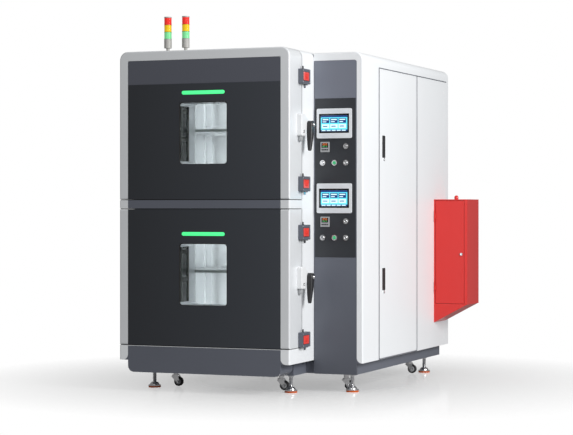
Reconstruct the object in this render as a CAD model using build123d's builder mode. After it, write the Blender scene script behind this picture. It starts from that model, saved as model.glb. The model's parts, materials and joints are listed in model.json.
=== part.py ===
from build123d import *
import os

# Battery test chamber: two stacked insulated compartments, each behind its own thick
# side-hinged door, and an L-shaped machine cabinet that stands beside and behind them.
# Millimetres. +X is to the right, +Y goes in from the doors, +Z is up. The origin is the
# middle of the whole footprint, on the floor.

# Overall sizes
chamber_width = 982.0
chamber_depth = 820.0
chamber_floor = 167.0
machine_drop = 8.0
machine_floor = 157.0
machine_depth = 1546.0
machine_reach = 278.0
machine_setback = 347.0
casing_gap = 2.0
sheet = 2.0
corner_radius = 45.0
edge_radius = 8.0

# Doors
door_depth = 170.0
door_gap = 10.0
split_gap = 4.0
upper_door_height = 790.0
lower_door_height = 724.0
band_height = 44.0
sill_top = 245.0
frame_width = 50.0
face_thickness = 6.0
face_clearance = 0.5
face_corner = 13.0
header_height = 129.0
header_groove = 2.0
plug_depth = 43.0
plug_clearance = 8.0
fit_clearance = 0.3

# Windows and light strips
window_width = 280.0
window_height = 332.0
window_radius = 20.0
upper_window_shift = -46.0
lower_window_shift = 16.5
glass_thickness = 6.0
glass_overlap = 14.0
inner_glass_inset = 4.0
strip_length = 250.0
strip_height = 22.0
strip_depth = 2.5
strip_above_window = 49.0

# Test compartments, measured from the ends of their doors
cavity_width = 600.0
cavity_depth = 600.0
upper_cavity_rise = 65.0
upper_cavity_drop = 175.0
lower_cavity_rise = 81.0
lower_cavity_drop = 93.0
liner_flange = 25.0
upright_width = 24.0
upright_depth = 10.0
upright_inset = 90.0
upright_slot = 10.0
upright_pitch = 50.0
shelf_height = 300.0
shelf_bar = 14.0
shelf_rod = 4.0
shelf_rods = 17
shelf_margin = 12.0
shelf_clearance = 1.0
lug_height = 6.0
lug_reach = 14.0
gasket_width = 30.0
gasket_inset = 12.0

# Skirt
skirt_bottom = 103.0
skirt_corner = 35.0

# Door hinges
hinge_offset = 12.0
hinge_pin_radius = 6.0
hinge_running = 0.05
hinge_knuckle_radius = 9.0
hinge_height = 90.0
hinge_middle = 32.0
hinge_plate = 4.0
hinge_reach = 70.0
hinge_from_end = 95.0

# Safety latches
latch_front = 120.0
latch_length = 106.0
latch_height = 78.0
latch_proud = 28.0
latch_lift = 1.0
latch_corner = 5.0
upper_door_latch_drop = 145.5
upper_door_latch_rise = 81.0
lower_door_latch_drop = 121.0
lower_door_latch_rise = 40.0
red_front = 127.0
red_length = 75.0
red_height = 44.0
red_proud = 3.0
red_thickness = 12.0
red_travel = 4.0
red_pocket_spare = 1.5
keeper_pin_radius = 4.0
keeper_pin_place = 206.0
keeper_slot = 13.0
keeper_slot_height = 14.0
keeper_pin_clearance = 2.0
keeper_drop = 18.0
keeper_plate = 4.0

# Door handles
upper_handle_shift = -6.0
lower_handle_shift = 3.0
handle_front = 102.0
handle_length = 58.0
handle_height = 116.0
handle_proud = 28.0
handle_arm = 18.0
pivot_place = 196.0
pivot_lift = 2.0
pivot_radius = 6.0
pivot_length = 32.0
lever_hub = 22.0
lever_tip = 9.0
lever_length = 128.0
lever_lean = 20.0
lever_thickness = 28.0
lever_inner_taper = 9.0
lever_outer_taper = 5.0
lever_chamfer = 2.5
strike_front = 188.0
strike_length = 36.0
strike_height = 40.0
strike_proud = 13.0

# Signal towers
first_tower_inset = 170.0
tower_spacing = 107.0
tower_depth = 245.0
tower_radius = 20.5
tower_stem_radius = 9.0
tower_stem = 35.0
tower_base = 49.0
tower_lens = 38.5
tower_cap = 6.0
tower_foot_radius = 24.0
tower_foot = 5.0

# Machine cabinet front: each item is measured down from the one above it
cover_width = 244.0
cover_depth = 20.0
cover_drop = 42.0
cover_bottom = 95.0
cover_corner = 14.0
control_drop = 202.0
control_margin = 5.0
control_below_buttons = 105.5
control_thickness = 4.0
instrument_middle = 119.0
set_pitch = 398.0
hmi_drop = 134.0
hmi_width = 197.0
hmi_tall = 158.0
hmi_proud = 9.0
hmi_depth = 32.0
hmi_screen_width = 170.0
hmi_screen_tall = 103.0
hmi_screen_recess = 2.0
hmi_corner = 8.0
controller_place = 66.0
controller_below_hmi = 125.0
controller_width = 50.0
controller_tall = 54.0
controller_proud = 6.0
controller_depth = 60.0
button_left = 52.0
button_right = 183.5
buttons_below_hmi = 209.5
alarm_below_hmi = 122.0
bezel_radius = 14.8
bezel_proud = 5.0
barrel_radius = 11.0
barrel_depth = 34.0
button_radius = 9.2
button_proud = 3.0
button_length = 16.0
button_chamfer = 0.8
cut_margin = 4.0

# Machine cabinet side and back
side_seam_drop = 67.0
side_panel_start = 606.0
side_panel_end = 1276.0
side_panel_inset = 22.0
rear_seam = 1806.0
groove = 2.0
groove_depth = 1.0
ledge_width = 24.0
paddle_start = 668.0
paddle_width = 40.0
paddle_tall = 113.0
paddle_thickness = 9.0
paddle_clearance = 0.5
paddle_cup = 14.0
upper_paddle_drop = 370.0
lower_paddle_rise = 378.0
lock_radius = 9.0
lock_drop = 14.0
lock_proud = 3.0
louvre_columns = 2
louvre_rows = 14
louvre_width = 300.0
louvre_height = 12.0
louvre_pitch = 34.0
louvre_bottom = 420.0

# Fire-extinguisher box on the right
box_width = 205.0
box_start = 1605.0
box_depth = 240.0
box_outer_bottom = 412.0
box_height = 618.0
box_floor_fall = 110.0
box_frame = 18.0
box_door_thickness = 15.0
box_door_gap = 2.0
box_hinge_radius = 4.0
box_lock_rise = 295.0
box_lock_radius = 9.0
box_lock_inset = 8.0
pipe_radius = 12.0
pipe_height = 14.0
cylinder_radius = 55.0
cylinder_height = 430.0
cylinder_shoulder = 38.5
neck_radius = 14.0
neck_height = 30.0
valve_width = 44.0
valve_height = 36.0

# Base, feet and casters
base_bottom = 95.0
rail_width = 60.0
rail_wall = 4.0
base_inset = 50.0
machine_base_inset = 36.0
base_rear_inset = 62.0
foot_radius = 34.0
foot_pad = 14.0
foot_dome_radius = 26.0
foot_dome = 16.0
foot_stem_radius = 9.0
foot_nut_radius = 16.0
foot_nut = 9.0
chamber_foot_inset = 90.0
chamber_foot_place = 245.0
chamber_caster_inset = 178.0
chamber_caster_place = 330.0
machine_foot_inset = 78.0
front_machine_foot_place = 402.0
rear_machine_foot_place = 1660.0
machine_caster_inset = 138.0
front_machine_caster_place = 474.0
rear_machine_caster_place = 1560.0
rear_left_foot_place = 1790.0
rear_left_caster_place = 1700.0
wheel_radius = 25.0
wheel_width = 22.0
wheel_clear = 3.0
wheel_running = 0.06
wheel_chamfer = 2.5
axle_radius = 4.0
caster_trail = 18.0
fork_wall = 3.0
fork_gap = 1.5
caster_race_radius = 21.0
caster_race = 7.0

# Heights that follow from the sizes, from the floor up
lower_door_bottom = sill_top + split_gap
lower_door_top = lower_door_bottom + lower_door_height
band_bottom = lower_door_top + split_gap
band_top = band_bottom + band_height
upper_door_bottom = band_top + split_gap
chamber_top = upper_door_bottom + upper_door_height
machine_top = chamber_top - machine_drop
upper_cavity = (upper_door_bottom + upper_cavity_rise, chamber_top - upper_cavity_drop)
lower_cavity = (lower_door_bottom + lower_cavity_rise, lower_door_top - lower_cavity_drop)
upper_latches = (chamber_top - upper_door_latch_drop, upper_door_bottom + upper_door_latch_rise)
lower_latches = (lower_door_top - lower_door_latch_drop, lower_door_bottom + lower_door_latch_rise)
cover_top = machine_top - cover_drop
control_top = cover_top - control_drop
hmi_height = control_top - hmi_drop
button_row = hmi_height - buttons_below_hmi
control_bottom = button_row - set_pitch - control_below_buttons
side_seam_height = machine_top - side_seam_drop
box_top = box_outer_bottom + box_height
box_inner_bottom = box_outer_bottom - box_floor_fall

# Places that follow from the sizes
total_width = hinge_offset + hinge_knuckle_radius + chamber_width + machine_reach + box_width
total_depth = machine_setback + machine_depth
chamber_left = hinge_offset + hinge_knuckle_radius - total_width / 2
chamber_right = chamber_left + chamber_width
machine_right = chamber_right + machine_reach
front = -total_depth / 2
back = total_depth / 2
door_back = front + door_depth
body_front = door_back + door_gap
chamber_back = body_front + chamber_depth
machine_front = front + machine_setback
chamber_middle = (chamber_left + chamber_right) / 2
hinge_x = chamber_left - hinge_offset
hinge_y = (door_back + body_front) / 2
cavity_left = chamber_middle - cavity_width / 2
cavity_right = chamber_middle + cavity_width / 2
face_left = chamber_left + frame_width
face_right = chamber_right - frame_width
base_left = chamber_left + base_inset
base_right = chamber_right - base_inset
machine_base_right = machine_right - machine_base_inset


def facing(y):
    """Upright plane at depth y: local x is X, local y is Z, and +amount comes forward."""
    return Plane.XZ.offset(-y)


def beside(x):
    """Upright plane at x: local x is Y, local y is Z, and +amount goes right."""
    return Plane.YZ.offset(x)


def level(z):
    """Flat plane at height z: local x is X, local y is Y, and +amount goes up."""
    return Plane.XY.offset(z)


def span(a0, a1, b0, b1, radius=0.0):
    """Rectangle between two limits each way, with rounded corners where a radius is given."""
    with Locations(((a0 + a1) / 2, (b0 + b1) / 2)):
        if radius > 0:
            RectangleRounded(a1 - a0, b1 - b0, radius)
        else:
            Rectangle(a1 - a0, b1 - b0)


def gate(x0, x1, z0, z1, radius):
    """Rectangle whose two upper corners are round."""
    with BuildLine() as outline:
        FilletPolyline((x0, z0), (x0, z1), (x1, z1), (x1, z0), radius=radius)
        Line((x1, z0), (x0, z0))
    make_face(outline.edges())


def block(plane, a0, a1, b0, b1, amount, radius=0.0, mode=Mode.ADD):
    """Straight prism on a plane."""
    with BuildSketch(plane) as profile:
        span(a0, a1, b0, b1, radius)
    extrude(profile.sketch, amount=amount, mode=mode)


def disc(plane, place, radius, amount, mode=Mode.ADD):
    """Straight round bar on a plane."""
    with BuildSketch(plane) as profile:
        with Locations(place):
            Circle(radius)
    extrude(profile.sketch, amount=amount, mode=mode)


def save(piece, name):
    """Names a finished piece and writes it."""
    piece.part.label = name
    export_step(piece.part, f"parts/{name}.step")


os.makedirs("parts", exist_ok=True)

# Outer casing of the chamber: a tall body with a sill that comes forward under the lower
# door. The two mouths are cut in its front wall.
with BuildPart() as chamber_casing:
    with BuildSketch(facing(body_front)):
        gate(chamber_left, chamber_right, chamber_floor, chamber_top, corner_radius)
    extrude(amount=-chamber_depth)
    block(facing(front), chamber_left, chamber_right, chamber_floor, sill_top, -(door_depth + door_gap))
    sill_edges = chamber_casing.edges().group_by(Axis.Y)[0].filter_by(Axis.Z)
    fillet(sill_edges, radius=edge_radius)
    with BuildSketch(facing(body_front + sheet)):
        gate(
            chamber_left + sheet,
            chamber_right - sheet,
            chamber_floor + sheet,
            chamber_top - sheet,
            corner_radius - sheet,
        )
    extrude(amount=-(chamber_depth - 2 * sheet), mode=Mode.SUBTRACT)
    for side in (chamber_left + sheet, face_right + sheet):
        block(
            level(chamber_floor + sheet),
            side,
            side + frame_width - 2 * sheet,
            front + edge_radius,
            body_front,
            sill_top - chamber_floor - 2 * sheet,
            mode=Mode.SUBTRACT,
        )
    block(
        level(chamber_floor),
        face_left,
        face_right,
        front,
        door_back,
        sill_top - chamber_floor - sheet,
        mode=Mode.SUBTRACT,
    )
    for low, high in (upper_cavity, lower_cavity):
        block(
            facing(body_front),
            cavity_left - sheet,
            cavity_right + sheet,
            low - sheet,
            high + sheet,
            -sheet,
            mode=Mode.SUBTRACT,
        )
    for height in (band_bottom - split_gap, band_top):
        block(
            beside(chamber_right),
            body_front,
            machine_front,
            height,
            height + split_gap,
            -groove_depth,
            mode=Mode.SUBTRACT,
        )
save(chamber_casing, "chamber_casing")

# Two stainless liners, each a box open to the front with a flange behind the front wall,
# slotted uprights on its side walls and lugs that carry its shelf.
liner_back = body_front + cavity_depth
upright_places = (body_front + upright_inset, liner_back - upright_inset)
with BuildPart() as chamber_liners:
    for low, high in (upper_cavity, lower_cavity):
        block(
            facing(body_front + sheet),
            cavity_left - liner_flange,
            cavity_right + liner_flange,
            low - liner_flange,
            high + liner_flange,
            -sheet,
        )
        block(
            facing(body_front),
            cavity_left - sheet,
            cavity_right + sheet,
            low - sheet,
            high + sheet,
            -(cavity_depth + sheet),
        )
        block(
            facing(body_front),
            cavity_left,
            cavity_right,
            low,
            high,
            -cavity_depth,
            mode=Mode.SUBTRACT,
        )
        for y in upright_places:
            for wall, reach in ((cavity_left, upright_depth), (cavity_right, -upright_depth)):
                block(
                    beside(wall),
                    y - upright_width / 2,
                    y + upright_width / 2,
                    low,
                    high,
                    reach,
                )
                count = int((high - low) / upright_pitch) - 1
                with BuildSketch(beside(wall)):
                    with Locations((y, (low + high) / 2)):
                        with GridLocations(0, upright_pitch, 1, count):
                            Rectangle(upright_slot, upright_slot)
                extrude(amount=reach, mode=Mode.SUBTRACT)
                block(
                    beside(wall + reach),
                    y - upright_width / 2,
                    y + upright_width / 2,
                    low + shelf_height - lug_height,
                    low + shelf_height,
                    lug_reach if reach > 0 else -lug_reach,
                )
save(chamber_liners, "chamber_liners")

# Two wire shelves that lie on the liners' lugs
shelf_left = cavity_left + upright_depth + shelf_clearance
shelf_right = cavity_right - upright_depth - shelf_clearance
shelf_front = door_back + plug_depth + shelf_margin
shelf_back = liner_back - shelf_margin
with BuildPart() as shelves:
    for low, high in (upper_cavity, lower_cavity):
        top = level(low + shelf_height)
        block(top, shelf_left, shelf_right, shelf_front, shelf_back, shelf_bar)
        block(
            top,
            shelf_left + shelf_bar,
            shelf_right - shelf_bar,
            shelf_front + shelf_bar,
            shelf_back - shelf_bar,
            shelf_bar,
            mode=Mode.SUBTRACT,
        )
        rod_pitch = (shelf_right - shelf_left) / (shelf_rods + 1)
        with BuildSketch(level(low + shelf_height + shelf_bar - shelf_rod)):
            with Locations((chamber_middle, (shelf_front + shelf_back) / 2)):
                with GridLocations(rod_pitch, 0, shelf_rods, 1):
                    Rectangle(shelf_rod, shelf_back - shelf_front)
                Rectangle(shelf_right - shelf_left, shelf_rod)
        extrude(amount=shelf_rod)
save(shelves, "shelves")

# Fixed band between the doors
with BuildPart() as mid_band:
    block(
        facing(front),
        chamber_left,
        chamber_right,
        band_bottom,
        band_top,
        -(door_depth + door_gap),
    )
    fillet(mid_band.edges().group_by(Axis.Y)[0].filter_by(Axis.Z), radius=edge_radius)
    block(
        beside(chamber_left + edge_radius),
        front + edge_radius,
        body_front,
        band_bottom + sheet,
        band_top - sheet,
        chamber_width - 2 * edge_radius,
        mode=Mode.SUBTRACT,
    )
save(mid_band, "mid_band")

# Dark skirt under the sill, with round lower corners
skirt_left = face_left + face_clearance
skirt_right = face_right - face_clearance
skirt_top = sill_top - sheet - fit_clearance
with BuildPart() as skirt:
    with BuildSketch(facing(front)):
        with BuildLine():
            FilletPolyline(
                (skirt_left, skirt_top),
                (skirt_left, skirt_bottom),
                (skirt_right, skirt_bottom),
                (skirt_right, skirt_top),
                radius=skirt_corner,
            )
            Line((skirt_right, skirt_top), (skirt_left, skirt_top))
        make_face()
    extrude(amount=-(door_depth - fit_clearance))
    back_face = skirt.faces().sort_by(Axis.Y)[-1]
    offset(amount=-sheet, openings=back_face)
save(skirt, "skirt")


def door_outline(low, high, radius):
    """Front outline of a door: the upper door has round top corners."""
    if radius > 0:
        gate(chamber_left, chamber_right, low, high, radius)
    else:
        span(chamber_left, chamber_right, low, high)


def hinge_heights(low, high):
    """Middles of the two hinges on a door."""
    return (low + hinge_from_end, high - hinge_from_end)


def window_hole(middle, y, amount, grow=0.0, mode=Mode.SUBTRACT):
    """Round-cornered window shape, cut or added."""
    block(
        facing(y),
        chamber_middle - window_width / 2 - grow,
        chamber_middle + window_width / 2 + grow,
        middle - window_height / 2 - grow,
        middle + window_height / 2 + grow,
        amount,
        radius=window_radius + grow,
        mode=mode,
    )


def make_door_shell(name, low, high, radius, face_top, middle):
    """Pressed outer pan of a door, with a recess for the dark face."""
    with BuildPart() as door_shell:
        with BuildSketch(facing(front)):
            door_outline(low, high, radius)
        extrude(amount=-door_depth)
        fillet(door_shell.edges().group_by(Axis.Y)[0], radius=edge_radius)
        with BuildSketch(facing(front + face_thickness + sheet)):
            if radius > 0:
                gate(
                    chamber_left + sheet,
                    chamber_right - sheet,
                    low + sheet,
                    high - sheet,
                    radius - sheet,
                )
            else:
                span(chamber_left + sheet, chamber_right - sheet, low + sheet, high - sheet)
        extrude(amount=-door_depth, mode=Mode.SUBTRACT)
        block(facing(front), face_left, face_right, low, face_top, -face_thickness, mode=Mode.SUBTRACT)
        window_hole(middle, front, -door_depth)
    save(door_shell, f"{name}_door_shell")


def make_door_face(name, low, face_top, middle, header):
    """Dark front panel of a door with its window and light-strip pocket."""
    left = face_left + face_clearance
    right = face_right - face_clearance
    with BuildPart() as door_face:
        with BuildSketch(facing(front)):
            if header > 0:
                gate(left, right, low, face_top - face_clearance, face_corner)
            else:
                span(left, right, low, face_top)
        extrude(amount=-face_thickness)
        window_hole(middle, front, -face_thickness)
        strip = middle + window_height / 2 + strip_above_window
        with BuildSketch(facing(front)):
            with Locations((chamber_middle, strip)):
                SlotOverall(strip_length, strip_height)
        extrude(amount=-strip_depth, mode=Mode.SUBTRACT)
        if header > 0:
            seam = face_top - header
            block(facing(front), left, right, seam, seam + header_groove, -groove_depth, mode=Mode.SUBTRACT)
    save(door_face, f"{name}_door_face")


def make_door_plug(name, low, high, radius, middle, cavity):
    """Stainless inner pan: a flange in the shell, a step that enters the mouth and a tunnel."""
    inset = sheet + fit_clearance
    left = cavity_left + plug_clearance
    right = cavity_right - plug_clearance
    bottom = cavity[0] + plug_clearance
    top = cavity[1] - plug_clearance
    glass_back = front + face_thickness + sheet + glass_thickness
    with BuildPart() as door_plug:
        with BuildSketch(facing(door_back - sheet)):
            if radius > 0:
                gate(
                    chamber_left + inset,
                    chamber_right - inset,
                    low + inset,
                    high - inset,
                    radius - inset,
                )
            else:
                span(chamber_left + inset, chamber_right - inset, low + inset, high - inset)
        extrude(amount=-sheet)
        block(facing(door_back), left, right, bottom, top, -plug_depth)
        block(
            facing(door_back - sheet),
            left + sheet,
            right - sheet,
            bottom + sheet,
            top - sheet,
            -plug_depth,
            mode=Mode.SUBTRACT,
        )
        window_hole(middle, glass_back, -(door_back + plug_depth - glass_back), grow=sheet, mode=Mode.ADD)
        window_hole(middle, glass_back, -(door_back + plug_depth - glass_back))
    save(door_plug, f"{name}_door_plug")


def make_door_gasket(name, low, high):
    """Rubber seal round the door's back."""
    left = chamber_left + gasket_inset
    right = chamber_right - gasket_inset
    with BuildPart() as door_gasket:
        with BuildSketch(facing(door_back)):
            span(left, right, low + gasket_inset, high - gasket_inset, corner_radius - gasket_inset)
            with Locations(((left + right) / 2, (low + high) / 2)):
                Rectangle(
                    right - left - 2 * gasket_width,
                    high - low - 2 * gasket_inset - 2 * gasket_width,
                    mode=Mode.SUBTRACT,
                )
        extrude(amount=-(door_gap - fit_clearance))
    save(door_gasket, f"{name}_door_gasket")


def make_window_glass(name, middle):
    """Outer pane behind the front sheet and inner pane in the end of the tunnel."""
    with BuildPart() as window_glass:
        window_hole(
            middle,
            front + face_thickness + sheet,
            -glass_thickness,
            grow=glass_overlap,
            mode=Mode.ADD,
        )
        window_hole(
            middle,
            door_back + plug_depth - inner_glass_inset - glass_thickness,
            -glass_thickness,
            grow=-fit_clearance,
            mode=Mode.ADD,
        )
    save(window_glass, f"{name}_window_glass")


def make_door_fittings(name, low, high, latches):
    """Hinge leaves on the left side and latch bodies on the right side of a door."""
    with BuildPart() as door_fittings:
        for z in hinge_heights(low, high):
            half = hinge_height / 2
            block(
                beside(chamber_left),
                door_back - hinge_reach,
                door_back - hinge_running,
                z - half,
                z + half,
                -hinge_plate,
            )
            block(
                level(z - hinge_middle / 2),
                hinge_x - hinge_pin_radius,
                chamber_left,
                hinge_y - 2 * hinge_knuckle_radius,
                door_back,
                hinge_middle,
            )
            disc(level(z - hinge_middle / 2), (hinge_x, hinge_y), hinge_knuckle_radius, hinge_middle)
            disc(
                level(z - hinge_middle / 2),
                (hinge_x, hinge_y),
                hinge_pin_radius + hinge_running,
                hinge_middle,
                mode=Mode.SUBTRACT,
            )
        for z in latches:
            make_latch(z)
    save(door_fittings, f"{name}_door_fittings")


def make_latch(z):
    """Latch body: mounted on the door's side and reaching back past the gap."""
    start = front + latch_front
    end = start + latch_length
    bottom = z - latch_height / 2
    top = z + latch_height / 2
    body = latch_proud - latch_lift
    inner = latch_corner
    block(beside(chamber_right + latch_lift), start, end, bottom, top, body, radius=latch_corner)
    block(beside(chamber_right), start + inner, door_back, bottom + inner, top - inner, latch_lift)
    pocket = red_thickness - red_proud + red_travel + red_pocket_spare
    block(
        beside(chamber_right + latch_proud),
        front + red_front - fit_clearance,
        front + red_front + red_length + fit_clearance,
        z - red_height / 2 - fit_clearance,
        z + red_height / 2 + fit_clearance,
        -pocket,
        mode=Mode.SUBTRACT,
    )
    pin_x = chamber_right + latch_proud / 2
    block(
        level(bottom),
        pin_x - keeper_slot / 2,
        pin_x + keeper_slot / 2,
        front + keeper_pin_place - keeper_slot / 2,
        end,
        keeper_slot_height,
        mode=Mode.SUBTRACT,
    )


def make_release(name, z):
    """Red release plate of a latch, which is pushed in."""
    with BuildPart() as release:
        block(
            beside(chamber_right + latch_proud + red_proud),
            front + red_front,
            front + red_front + red_length,
            z - red_height / 2,
            z + red_height / 2,
            -red_thickness,
        )
        chamfer(release.edges().group_by(Axis.X)[-1], length=red_proud / 2)
    save(release, name)


def make_handle(name, z):
    """Handle housing on the door's side, with the arm and pin that carry the lever."""
    pivot = (front + pivot_place, z + pivot_lift)
    with BuildPart() as handle_base:
        block(
            beside(chamber_right),
            front + handle_front,
            front + handle_front + handle_length,
            z - handle_height / 2,
            z + handle_height / 2,
            handle_proud,
            radius=edge_radius,
        )
        fillet(handle_base.edges().group_by(Axis.X)[-1], radius=edge_radius / 2)
        with BuildSketch(beside(chamber_right + handle_arm)):
            with BuildLine():
                top = (front + handle_front + handle_length / 2, z + handle_height / 2 - edge_radius)
                low = (front + handle_front + handle_length / 2, z - handle_height / 4)
                bottom = (pivot[0], pivot[1] - lever_hub)
                end = (pivot[0], pivot[1] + lever_hub)
                Line(low, top)
                TangentArc(top, end, tangent=(1, 0))
                ThreePointArc(end, (pivot[0] + lever_hub, pivot[1]), bottom)
                Line(bottom, low)
            make_face()
        extrude(amount=handle_proud - handle_arm)
        disc(beside(chamber_right + handle_proud), pivot, pivot_radius, pivot_length)
    save(handle_base, f"{name}_handle_base")
    make_lever(f"{name}_lever", pivot)


def make_lever(name, pivot):
    """Hand lever: a round hub that runs down to a narrower and thinner tip."""
    inner = chamber_right + handle_proud + fit_clearance
    outer = inner + lever_thickness
    top = pivot[1] + lever_hub
    neck = pivot[1] - lever_hub
    end = pivot[1] - lever_length - lever_tip
    with BuildPart() as lever:
        with BuildSketch(beside(inner)):
            with Locations(pivot):
                Circle(lever_hub)
            with Locations((pivot[0] - lever_lean, pivot[1] - lever_length)):
                Circle(lever_tip)
            make_hull()
        extrude(amount=lever_thickness)
        with BuildSketch(facing(pivot[0] - lever_lean - lever_hub)):
            with BuildLine():
                Line((inner, neck), (inner, top))
                Line((inner, top), (outer, top))
                Line((outer, top), (outer, neck))
                TangentArc((outer, neck), (outer - lever_outer_taper, end), tangent=(0, -1))
                Line((outer - lever_outer_taper, end), (inner + lever_inner_taper, end))
                TangentArc((inner, neck), (inner + lever_inner_taper, end), tangent=(0, -1))
            make_face()
        extrude(amount=-(lever_lean + 2 * lever_hub), mode=Mode.INTERSECT)
        rim = lever.edges().filter_by(lambda edge: edge.center().X > (inner + outer) / 2)
        chamfer(rim.filter_by(GeomType.LINE, reverse=True), length=lever_chamfer)
        disc(
            beside(chamber_right + handle_proud),
            pivot,
            pivot_radius + hinge_running,
            lever_thickness + 2 * fit_clearance,
            mode=Mode.SUBTRACT,
        )
    save(lever, name)


def make_door(name, low, high, face_top, window_shift, handle_shift, latches):
    """All that moves with a door, with its latch releases and its handle lever."""
    middle = (low + high) / 2
    window = middle + window_shift
    radius = corner_radius if face_top < high else 0.0
    header = header_height if face_top < high else 0.0
    cavity = upper_cavity if face_top < high else lower_cavity
    make_door_shell(name, low, high, radius, face_top, window)
    make_door_face(name, low, face_top, window, header)
    make_door_plug(name, low, high, radius, window, cavity)
    make_door_gasket(name, low, high)
    make_window_glass(name, window)
    make_door_fittings(name, low, high, latches)
    for number, z in enumerate(latches, 1):
        make_release(f"{name}_latch_release_{number}", z)
    make_handle(name, middle + handle_shift)


upper_door = (upper_door_bottom, chamber_top)
lower_door = (lower_door_bottom, lower_door_top)
upper_face_top = chamber_top - frame_width
make_door("upper", *upper_door, upper_face_top, upper_window_shift, upper_handle_shift, upper_latches)
make_door("lower", *lower_door, lower_door_top, lower_window_shift, lower_handle_shift, lower_latches)

# Fixed fittings of the body: hinge brackets with their pins, latch keepers and the
# handles' strikes
with BuildPart() as body_fittings:
    for (low, high), latches, handle_shift in (
        (upper_door, upper_latches, upper_handle_shift),
        (lower_door, lower_latches, lower_handle_shift),
    ):
        for z in hinge_heights(low, high):
            half = hinge_height / 2
            block(
                beside(chamber_left),
                body_front,
                body_front + hinge_reach,
                z - half,
                z + half,
                -hinge_plate,
            )
            ear = half - hinge_middle / 2 - fit_clearance
            for start in (z - half, z + half - ear):
                block(
                    level(start),
                    hinge_x - hinge_pin_radius,
                    chamber_left,
                    body_front,
                    hinge_y + 2 * hinge_knuckle_radius,
                    ear,
                )
                disc(level(start), (hinge_x, hinge_y), hinge_knuckle_radius, ear)
            disc(level(z - half), (hinge_x, hinge_y), hinge_pin_radius, hinge_height)
        for z in latches:
            bottom = z - latch_height / 2
            pin_x = chamber_right + latch_proud / 2
            pin_y = front + keeper_pin_place
            block(
                beside(chamber_right),
                pin_y - keeper_slot,
                pin_y + keeper_slot,
                bottom - keeper_drop,
                bottom - latch_lift,
                keeper_plate,
            )
            block(
                level(bottom - keeper_plate - latch_lift),
                chamber_right,
                pin_x + keeper_slot / 2,
                pin_y - keeper_slot / 2,
                pin_y + keeper_slot / 2,
                keeper_plate,
            )
            disc(
                level(bottom - keeper_plate),
                (pin_x, pin_y),
                keeper_pin_radius,
                keeper_plate + keeper_slot_height - keeper_pin_clearance,
            )
        pivot_z = (low + high) / 2 + handle_shift + pivot_lift
        block(
            beside(chamber_right),
            front + strike_front,
            front + strike_front + strike_length,
            pivot_z - strike_height / 2,
            pivot_z + strike_height / 2,
            strike_proud,
            radius=edge_radius / 2,
        )
save(body_fittings, "body_fittings")

# Signal towers on the roof: foot, stem and base in one, with a cap over three lenses
tower_bottom = chamber_top + tower_stem
lens_bottom = tower_bottom + tower_base
first_tower = (chamber_left + first_tower_inset, front + tower_depth)
tower_places = (first_tower, (first_tower[0] + tower_spacing, first_tower[1]))
with BuildPart() as tower_bases:
    for place in tower_places:
        disc(level(chamber_top), place, tower_foot_radius, tower_foot)
        disc(level(chamber_top), place, tower_stem_radius, tower_stem)
        disc(level(tower_bottom), place, tower_radius, tower_base)
        disc(level(lens_bottom + 3 * tower_lens), place, tower_radius, tower_cap)
save(tower_bases, "tower_bases")

with BuildPart() as tower_lenses:
    for place in tower_places:
        for number in range(3):
            base = level(lens_bottom + number * tower_lens)
            disc(base, place, tower_radius - fit_clearance, tower_lens - fit_clearance)
save(tower_lenses, "tower_lenses")

# Machine cabinet: L-shaped in plan, with openings for the front cover and the side panel
rear_start = chamber_back + casing_gap
side_x = chamber_right + casing_gap
cover_end = chamber_right + cover_width
panel_low = machine_floor + sheet
upper_paddle_bottom = side_seam_height - upper_paddle_drop - paddle_tall
paddle_bottoms = (upper_paddle_bottom, machine_floor + lower_paddle_rise)


def cabinet_outline(inset):
    """Plan of the machine cabinet, drawn in by an inset on every side."""
    with BuildLine() as outline:
        Polyline(
            (side_x + inset, machine_front + inset),
            (machine_right - inset, machine_front + inset),
            (machine_right - inset, back - inset),
            (chamber_left + inset, back - inset),
            (chamber_left + inset, rear_start + inset),
            (side_x + inset, rear_start + inset),
            close=True,
        )
    make_face(outline.edges())


def cabinet_body(inset):
    """Solid of the cabinet, drawn in by an inset, with its rounded edges."""
    with BuildPart() as body:
        with BuildSketch(level(machine_floor + inset)):
            cabinet_outline(inset)
        extrude(amount=machine_top - machine_floor - 2 * inset)
        top_edges = body.edges().group_by(Axis.Z)[-1]
        fillet(top_edges.filter_by(Axis.Y).sort_by(Axis.X)[-1], radius=corner_radius - inset)
        corners = body.edges().filter_by(Axis.Z).group_by(Axis.X)[-1]
        fillet(corners.sort_by(Axis.Y)[0], radius=edge_radius - inset)
    return body.part


def ledge(plane, a0, a1, b0, b1):
    """Flat ring behind an opening, on which its cover lies."""
    with BuildSketch(plane) as profile:
        span(a0, a1, b0, b1)
        with Locations(((a0 + a1) / 2, (b0 + b1) / 2)):
            Rectangle(a1 - a0 - 2 * ledge_width, b1 - b0 - 2 * ledge_width, mode=Mode.SUBTRACT)
    extrude(profile.sketch, amount=-sheet)


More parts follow.
